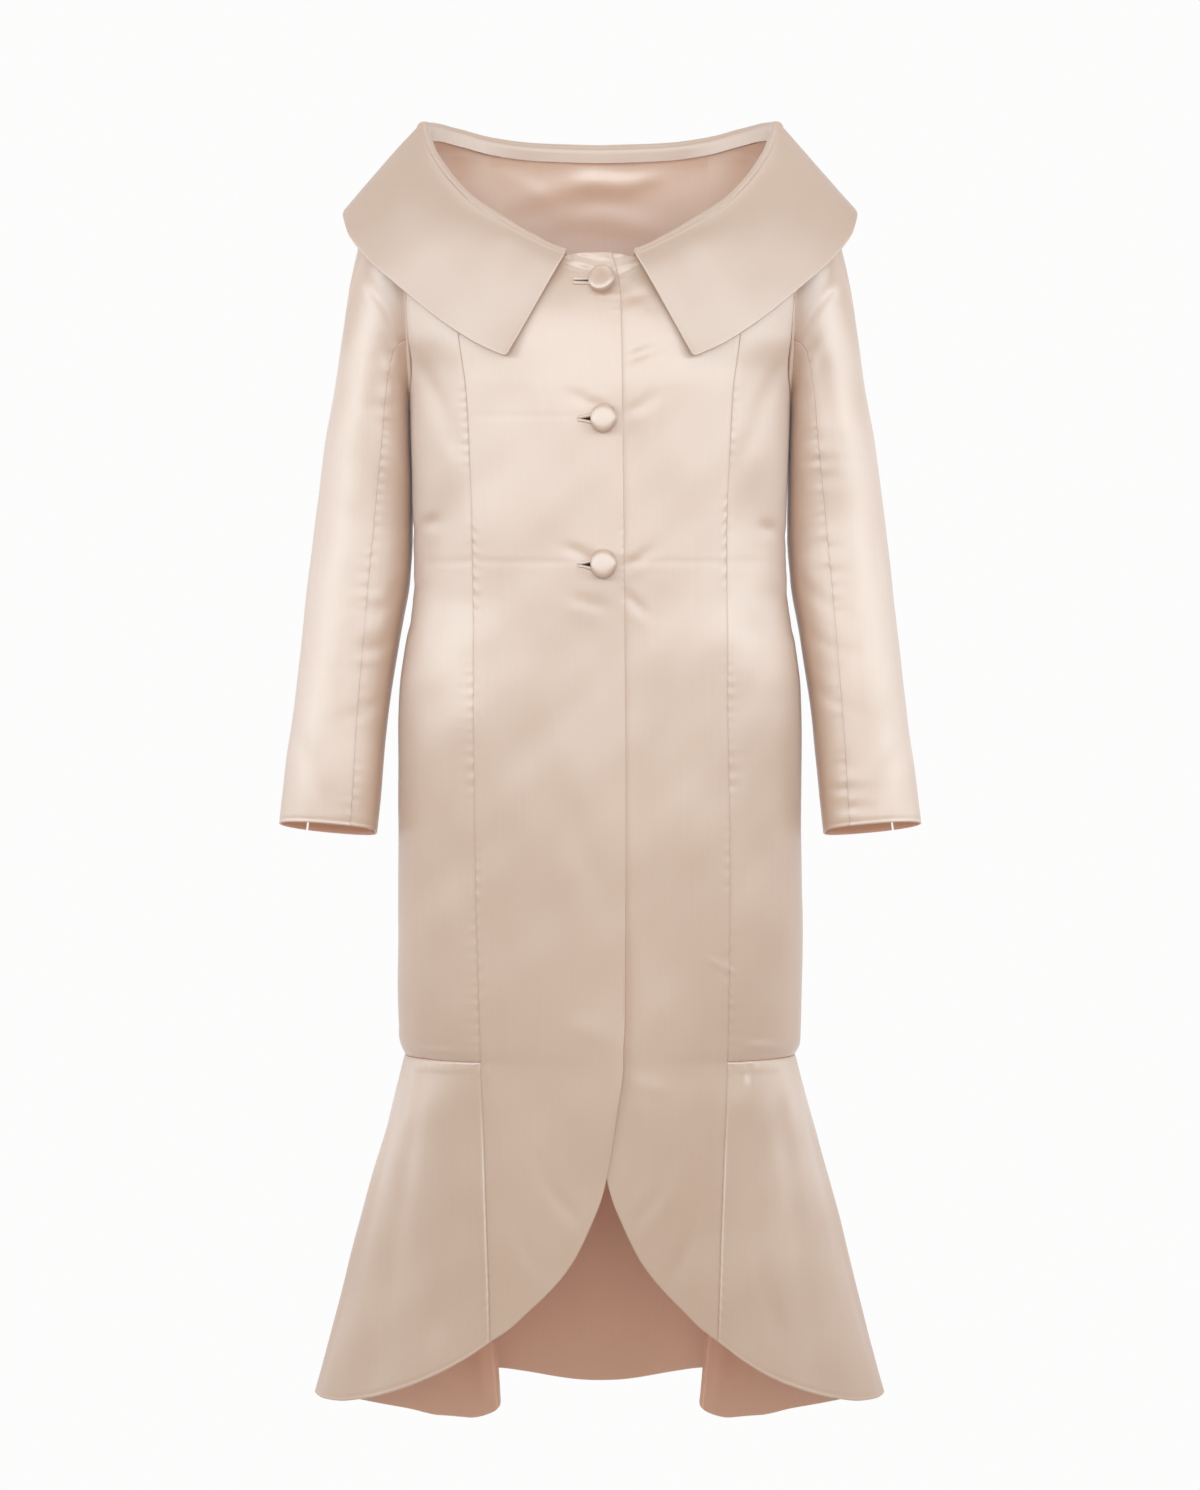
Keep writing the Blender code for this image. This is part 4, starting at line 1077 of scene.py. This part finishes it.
def collar_face():
    """Shown face of the collar: up the inside of the stand, over the fold and down the fall."""
    first = COLLAR["turn"][0]
    near = np.array(EDGE_PLACES) * MM
    even = np.linspace(near[-1], COLLAR_HALF, round(COLLAR_HALF / COLLAR_STEP))
    along = np.concatenate((near[:-1], even))
    turn = first + (180.0 - first) * along / COLLAR_HALF
    row = {name: smooth(COLLAR["turn"], COLLAR[name], turn) * MM for name in COLLAR}
    height = neck_height(turn)
    corner = np.clip(1 - along / CORNER_REACH, 0.0, 1.0) ** 2
    edge = np.stack((row["x"], row["y"], row["z"]), axis=-1)
    edge = edge + corner[:, None] * np.array(CORNER_WAY) * CORNER_DRAW
    neck, normal = on_body(turn, height)
    base = neck - normal * WALL
    top = base.copy()
    top[:, 2] = height + NECK_SEAM_GAP
    base = base - normal * (STAND_LAP[0] - body_relief(neck, normal)[:, None])
    base[:, 2] = height - STAND_LAP[1]
    out = unit(normal * np.array((1, 1, 0)))
    up = np.array((0.0, 0.0, 1.0))
    top = top + row["stand"][:, None] * (up - STAND_LEAN * out)
    lines = [base + (top - base) * part for part in np.linspace(0.0, 1.0, STAND_STEPS + 1)[:-1]]
    fold = row["fold"][:, None]
    for angle in np.linspace(0.0, np.pi, FOLD_STEPS + 1):
        lines.append(top + out * fold * (1 - np.cos(angle)) + up * fold * np.sin(angle))
    start = lines[-1]
    fall = edge - start
    side = np.cross(np.cross(fall, out), fall)
    side = unit(side * np.where(np.sum(side * out, axis=1) < 0, -1, 1)[:, None])
    for part in spread(COLLAR_FALL, FALL_STEP)[FALL_FROM:]:
        roll = ROLL[0] * row["bulge"] * np.sin(np.pi * part ** ROLL[1])
        lines.append(start + fall * part + side * roll[:, None])
    half = np.stack(lines, axis=1)
    return np.concatenate((half, half[-2::-1] * np.array((-1, 1, 1))))


def collar_shell(name):
    """The collar with its bagged-out edges."""
    face = collar_face()
    normals = grid_normals(face)
    distances = from_edges(face)
    shown, hidden, near = (np.zeros(face.shape[:2]) for layer in range(3))
    for number, (groove_share, rim_share) in COLLAR_EDGES.items():
        distance = distances[number]
        along = distances[2] if number < 2 else distances[0]
        groove = ridge(distance, *GROOVE, groove_share)
        rim = np.exp(-distance / RIM_REACH) * rim_share
        curl = turned(distance, *COLLAR_CURL)
        hidden += curl
        shown += TURNINGS_RISE * (1 - ease(distance, *TURNINGS_END)) - curl
        shown += puckers(along, distance, *COLLAR_PUCKERS, COLLAR_START * number)
        shown -= GROOVE_DEPTH * groove
        # The groove and the rim are darkened with painted shade
        near = np.maximum(near, np.maximum(GROOVE_SHADE * groove, rim))
    shown -= turned(distances[2], *STAND_CURL)
    scallops = puckers(distances[0], distances[2], *STAND_SCALLOPS)
    falls = ease(distances[2], *FALL_START)
    faces = falls * ease(-normals[..., 1], *COLLAR_FACES)
    closeness, rise, more = COLLAR_WAVES
    waves = unevenness(face * closeness) * (rise + more * falls)
    relief = waves + faces * creases(COLLAR_CREASES, *as_seen(face)) + scallops
    rises = (shown + relief, hidden + relief)
    return cloth_shell(name, face, normals, *rises, near, wall=COLLAR_WALL)


collar_satin = satin(
    "collar_satin", (0.540, 0.356, 0.249, 1.0), (0.636, 0.440, 0.325, 1.0), 0.46, 0.7)
collar = sew(collar_shell("collar_satin"), "collar", "satin", collar_satin, collar_satin)

# Buttons
# Three domed shank buttons covered in the same satin, gathered under at the rim.
# They are sewn to the left front and passed through the buttonholes of the right one.
BUTTON_LIFT = 3.0 * MM
BUTTON_SEGMENTS = 72
DOME_RINGS = 36
BUTTONS = table("height x lean turn tip", [
    (-95, 1.8, 14, 13, 4), (-230, 3.8, -8, 12, 3), (-371, 3.8, 5, 12, 4),
])
BUTTON_OVAL = (0.93, 1.035)
DOME = table("radius lift", [
    (0, 7.5), (5, 7.4), (9.4, 7), (12.2, 6), (13.5, 4.2), (13.8, 2.2), (13.1, 0.6), (11, 0),
])
SHANK = table("radius lift", [
    (8, 0.1), (4, 0), (3.8, -1.3), (2, -1.3),
])
# Gathers of the cover at the rim, also painted in shade: radii and lifts where they set in; rise
# and number of each ripple
GATHER_RADIUS = (10.5 * MM, 13.6 * MM)
GATHER_LIFT = (-0.2 * MM, 0.6 * MM)
GATHERS = (0.10, 23)
GATHERS_DRIFT = (0.8, 3)
DENTS = (0.08, 2)
# Cover satin; its gathers at the rim are darkened with painted shade
cover_satin = satin(
    "button_cover_satin", (0.560, 0.350, 0.232, 1.0), (0.680, 0.455, 0.322, 1.0), 0.42,
    painted_edge_shade=0.3)


def button_mesh(name, height, x, lean, turned_by, tipped_by):
    """One covered button, turned and tipped a little on its shank, with gathers at the rim."""
    stations = np.arange(len(DOME["lift"]), dtype=float)
    at = np.linspace(stations[0], stations[-1], DOME_RINGS)
    radius, lift = (
        np.concatenate((smooth(stations, DOME[size], at)[1:], SHANK[size])) * MM
        for size in ("radius", "lift"))
    angle = np.linspace(0, 2 * np.pi, BUTTON_SEGMENTS, endpoint=False)[None, :]
    gathers = ease(radius, *GATHER_RADIUS) * ease(lift, *GATHER_LIFT)
    wander = GATHERS_DRIFT[0] * np.sin(GATHERS_DRIFT[1] * angle)
    ripple = GATHERS[0] * np.sin(GATHERS[1] * angle + wander)
    ripple = ripple + DENTS[0] * np.sin(DENTS[1] * angle + lean)
    reach = radius[:, None] + gathers[:, None] * ripple * MM
    turn = turn_at(np.array(x * MM), height)
    centre, out = on_body(turn, height)
    centre = centre + out * BUTTON_LIFT
    aside, above = np.tan(np.radians((turned_by, tipped_by)))
    out = unit(out + np.array((-aside, 0.0, above)))
    across = unit(np.cross(np.array((0, 0, 1.0)), out))
    up = np.cross(out, across)
    angle = angle + np.radians(lean)
    ways = zip((np.cos(angle), np.sin(angle)), BUTTON_OVAL)
    wide, tall = (reach * way * size for way, size in ways)
    rings = centre + across * wide[..., None] + up * tall[..., None]
    rings = rings + out * lift[:, None, None]
    top = centre + out * DOME["lift"][0] * MM
    under = centre + out * SHANK["lift"][-1] * MM
    points = np.concatenate((rings.reshape(-1, 3), top[None], under[None]))
    index = np.arange(rings.shape[0] * BUTTON_SEGMENTS).reshape(rings.shape[:2])
    after = np.roll(index, -1, axis=1)
    walls = np.stack((index[:-1], index[1:], after[1:], after[:-1]), axis=-1).reshape(-1, 4)
    pairs = np.arange(0, BUTTON_SEGMENTS, 2)
    ends = []
    for ring, pole in ((index[0], index.size), (index[-1][::-1], index.size + 1)):
        corners = (0 * pairs + pole, ring[pairs], ring[pairs + 1], np.roll(ring, -2)[pairs])
        ends.append(np.stack(corners, axis=-1))
    spot = (points - centre) @ np.stack((across, up), axis=1)
    # The gathers set the painted shade of the cover
    near = np.concatenate((np.repeat(gathers, BUTTON_SEGMENTS), (0.0, 0.0)))
    return cloth_mesh(name, points, np.concatenate([walls] + ends), spot, near)


for number, (height, *ways) in enumerate(zip(*BUTTONS.values()), start=1):
    button = button_mesh("button_" + str(number) + "_cover", height * MM, *ways)
    sew(button, "button_" + str(number), "covered_button", cover_satin)

# Buttonholes
# Three bound buttonholes in the right front, each with two folded satin lips that meet at the slit.
# The lips are sewn in along a narrow box, and the lower two holes are pulled open by their buttons.
LIP_INNER_X = -4.5
LIP_HEIGHT = 3.8
LIP_SWELL = 1.4
LIP_WALL = 0.3 * MM
LIP_COLUMNS = 40
LIP_ROWS = 15
HOLES = table("outer_x opening", [
    (-26.5, 0.6), (-22.3, 3), (-22, 3.2),
])
# The slit: half width where it is closed, and the part of its length over which it opens
SLIT_HALF = 0.25
SLIT_OPENS = (0.25, 0.85)
# A hole opened this wide is fully pulled, which narrows its lips and rounds their outer ends
FULL_PULL = 3.0
PULLED_IN = 0.3
PULLED_TO = 0.8
PULLED_END = 0.14
LEAST_END = 0.04
# Section of a lip: its squareness, the length and the least height of its round end, its waves
LIP_SQUARENESS = 2.4
LIP_END = 0.07
LIP_END_HEIGHT = 0.25
LIP_WAVES = (0.05, 31)
# Painted shade where a lip sinks into the front: how far sunk where it starts and where it is full
LIP_SHADE = (0.45, 1.0)
# A strip painted with the shade inside the slit: its start past the end, half width, extra width,
# lift, wall and grid
STRIP_START = 1.5
STRIP_HALF = 0.35
STRIP_EXTRA = 0.1
STRIP_LIFT = 0.15 * MM
STRIP_WALL = 0.2 * MM
STRIP_GRID = (24, 5)
SLIT_SHADES = ((0.030, 0.016, 0.010, 1.0), (0.060, 0.034, 0.022, 1.0))
SLIT_CLOUDS = {"Scale": 900.0, "Detail": 1.0}
SLIT_LOOKS = {"Roughness": 0.9, "Specular IOR Level": 0.1}
# Lip satin: paler than the body satin as a painted highlight on the raised lips, darkened strongly
# by their painted shade
lip_satin = satin(
    "buttonhole_lip_satin", (0.560, 0.385, 0.280, 1.0), (0.700, 0.510, 0.390, 1.0), 0.44,
    painted_edge_shade=0.9)


def slit_shadow_material():
    """Deep shade inside the slit, between the two fronts."""
    material, shader, nodes = new_material("slit_shade")
    place = nodes.node("ShaderNodeTexCoord", output="Object")
    clouds = place.node("ShaderNodeTexNoise", None, {"Vector": place, **SLIT_CLOUDS})
    blend(clouds, *SLIT_SHADES).into(shader, "Base Color")
    set_looks(shader, SLIT_LOOKS)
    return material


slit_shade = slit_shadow_material()


def on_front(x, up):
    """Points and directions of the finished face of the right front; x and up in millimetres."""
    turn = turn_at(x * MM, up * MM)
    point, normal = on_body(turn, up * MM)
    return point + normal * body_relief(point, normal)[..., None], normal


def rounded_end(along, length, share, least):
    """Height of a round end, from its outer end to a length away from it."""
    missing = share * np.clip(1 - along / length, 0, 1) ** 2
    return np.sqrt(np.clip(1 - missing, least, 1.0))


def lip_shell(name, height, way, outer_x, opening):
    """One folded lip, round in section, tapering into the end of its box."""
    along = np.linspace(0.0, 1.0, LIP_COLUMNS)[:, None]
    part = np.linspace(0.0, 1.0, LIP_ROWS)[None, :]
    x = outer_x + (LIP_INNER_X - outer_x) * along + 0 * part
    slit = SLIT_HALF + opening / 2 * ease(along, *SLIT_OPENS)
    pulled = min(opening / FULL_PULL, 1.0)
    taper = 1 - PULLED_IN * pulled * (1 - ease(along, 0.0, PULLED_TO))
    taper = taper * rounded_end(along, PULLED_END, pulled, LEAST_END)
    up = height + way * (slit + LIP_HEIGHT * taper * part)
    point, normal = on_front(x, up)
    round_end = rounded_end(along, LIP_END, 1.0, 0.0)
    swell = np.sqrt(np.clip(1 - np.abs(2 * part - 1) ** LIP_SQUARENESS, 0.0, 1.0))
    swell = swell * (LIP_END_HEIGHT + (1 - LIP_END_HEIGHT) * round_end)
    wave = LIP_WAVES[0] * np.sin(along * LIP_WAVES[1] + way)
    lift = (LIP_SWELL * swell + wave * swell) * MM
    # Painted shade, darkest where the lip meets the front
    shade = ease(1 - swell, *LIP_SHADE)
    grain = np.stack((up * MM, x * MM), axis=-1)
    return cloth_shell(name, point, normal, lift, 0 * lift, shade, wall=LIP_WALL, grain=grain)


def slit_strip(name, height, outer_x, opening):
    """A strip painted with the shade of the opening between the two lips."""
    x = np.linspace(outer_x + STRIP_START + opening, LIP_INNER_X, STRIP_GRID[0])[:, None]
    along = (x - outer_x) / (LIP_INNER_X - outer_x)
    half = STRIP_HALF + (opening / 2 + STRIP_EXTRA) * ease(along, *SLIT_OPENS)
    up = height + half * np.linspace(-1.0, 1.0, STRIP_GRID[1])[None, :]
    x = x + 0 * up
    flat = np.zeros(up.shape)
    grain = np.stack((up * MM, x * MM), axis=-1)
    rises = (flat + STRIP_LIFT, flat)
    return cloth_shell(name, *on_front(x, up), *rises, flat, wall=STRIP_WALL, grain=grain)


for number, (height, *cut) in enumerate(zip(BUTTONS["height"], *HOLES.values()), start=1):
    hole = "buttonhole_" + str(number)
    for word, way in (("upper", 1), ("lower", -1)):
        lip = lip_shell(hole + "_" + word + "_lip", height, way, *cut)
        sew(lip, hole + "_" + word, "buttonhole_lip", lip_satin, lip_satin)
    slit = slit_strip(hole + "_slit", height, *cut)
    slit.data.materials.append(slit_shade)
    slit.data.materials.append(slit_shade)
    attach(slit, "root")

# Studio
# A plain pale floor below the coat, which is shown filled out as worn, and a pale room round it.
# Wide cool softboxes hang in front, above, at the corners and at the sides, and one low in front.
FLOOR_HEIGHT = -1.46
FLOOR_RADIUS = 0.9
FLOOR_CORNERS = 96
FLOOR_LOOKS = {"Base Color": (0.82, 0.815, 0.81, 1.0), "Roughness": 0.85}
FLOOR_FADE = {"From Min": 0.40, "From Max": 0.85, "To Min": 1.0, "To Max": 0.0}
ROOM_WHITE = (1.0, 0.998, 0.996, 1.0)
ROOM_FILL = (0.970, 0.975, 1.0, 1.0)
# Strength of the room as it is seen, and as a light: ahead of the coat, behind it, less with height
ROOM_SEEN = 0.98
ROOM_LIGHT = {"From Min": -0.25, "From Max": 0.45, "To Min": 0.24, "To Max": 0.95}
ROOM_LEVEL = 1.10
ROOM_FALL = 0.22
SOFTBOX_WHITE = (0.85, 0.945, 1.0)


def studio_floor():
    """Round pale floor that thins out to the room's own white at its rim."""
    angle = np.linspace(0, 2 * np.pi, FLOOR_CORNERS, endpoint=False)
    x, y = FLOOR_RADIUS * np.cos(angle), FLOOR_RADIUS * np.sin(angle)
    rim = np.stack((x, y, 0 * angle + FLOOR_HEIGHT), axis=-1)
    mesh = bpy.data.meshes.new("studio_floor")
    mesh.from_pydata([tuple(point) for point in rim], [], [tuple(range(len(rim)))])
    floor = bpy.data.objects.new("studio_floor", mesh)
    bpy.context.scene.collection.objects.link(floor)
    material, shader, nodes = new_material("pale_floor")
    set_looks(shader, FLOOR_LOOKS)
    place = nodes.node("ShaderNodeTexCoord", output="Object")
    length = {"operation": "LENGTH"}
    away = place.node("ShaderNodeVectorMath", length, {0: place}, output="Value")
    fade = place.node("ShaderNodeMapRange", {"clamp": True}, {"Value": away, **FLOOR_FADE})
    fade.into(shader, "Alpha")
    floor.data.materials.append(material)


def studio_room():
    """Pale room: near white to the camera; as a light, brighter behind the coat and lower down."""
    world = bpy.data.worlds.new("studio_room")
    bpy.context.scene.world = world
    world.use_nodes = True
    tree = world.node_tree
    backdrop = tree.nodes["Background"]
    ray = Shade(tree).node("ShaderNodeLightPath", output="Is Camera Ray")
    way = ray.node("ShaderNodeTexCoord", output="Generated")
    depth, rise = (
        way.node("ShaderNodeSeparateXYZ", None, {0: way}, output=axis) for axis in "YZ")
    fill = depth.node("ShaderNodeMapRange", {"clamp": True}, {"Value": depth, **ROOM_LIGHT})
    fill = fill * (ROOM_LEVEL - ROOM_FALL * rise)
    blend(ray, ROOM_FILL, ROOM_WHITE).into(backdrop, "Color")
    (fill + ray * (ROOM_SEEN - fill)).into(backdrop, "Strength")


def softbox(name, place, aim_height, size, power):
    """Wide soft light that faces a point of the coat's middle line."""
    data = bpy.data.lights.new(name, "AREA")
    data.shape = "RECTANGLE"
    data.size, data.size_y = size
    data.energy = power
    data.color = SOFTBOX_WHITE
    lamp = bpy.data.objects.new(name, data)
    lamp.location = place
    way = np.array((0, 0, aim_height)) - np.array(place)
    level = np.hypot(way[0], way[1])
    lamp.rotation_euler = (np.arctan2(level, -way[2]), 0.0, np.arctan2(-way[0], way[1]))
    bpy.context.scene.collection.objects.link(lamp)
    return lamp


studio_floor()
studio_room()
softbox("front_softbox", (0.0, -3.5, 0.86), -0.2, (3.4, 2.2), 43)
softbox("top_softbox", (0.0, -0.9, 2.3), 0, (2.6, 1.6), 16)
fill = softbox("fill_softbox", (0.0, -3.2, -0.8), -0.6, (1.8, 1.2), 33)
fill.visible_glossy = False
for side in SIDES:
    softbox("low_corner_softbox", (side * 2.9, -1.7, 0.1), -0.25, (1.2, 1.2), 15)
    softbox("corner_softbox", (side * 2.75, -2.45, 0.80), -0.2, (2.2, 1.5), 27)
    softbox("side_softbox", (side * 3.1, 0.1, 0.70), -0.3, (2.4, 2.0), 16)

SENSOR_HEIGHT = 24.0
VIEW_HEIGHT = 1.490
camera_data = bpy.data.cameras.new("photo_camera")
camera_data.sensor_fit = "VERTICAL"
camera_data.sensor_height = SENSOR_HEIGHT
camera_data.lens = SENSOR_HEIGHT * EYE_DISTANCE / VIEW_HEIGHT
camera = bpy.data.objects.new("photo_camera", camera_data)
camera.location = (0.0, -EYE_DISTANCE, EYE_HEIGHT)
camera.rotation_euler = (np.pi / 2, 0.0, 0.0)
bpy.context.scene.collection.objects.link(camera)
bpy.context.scene.camera = camera
bpy.context.scene.view_settings.view_transform = "Standard"
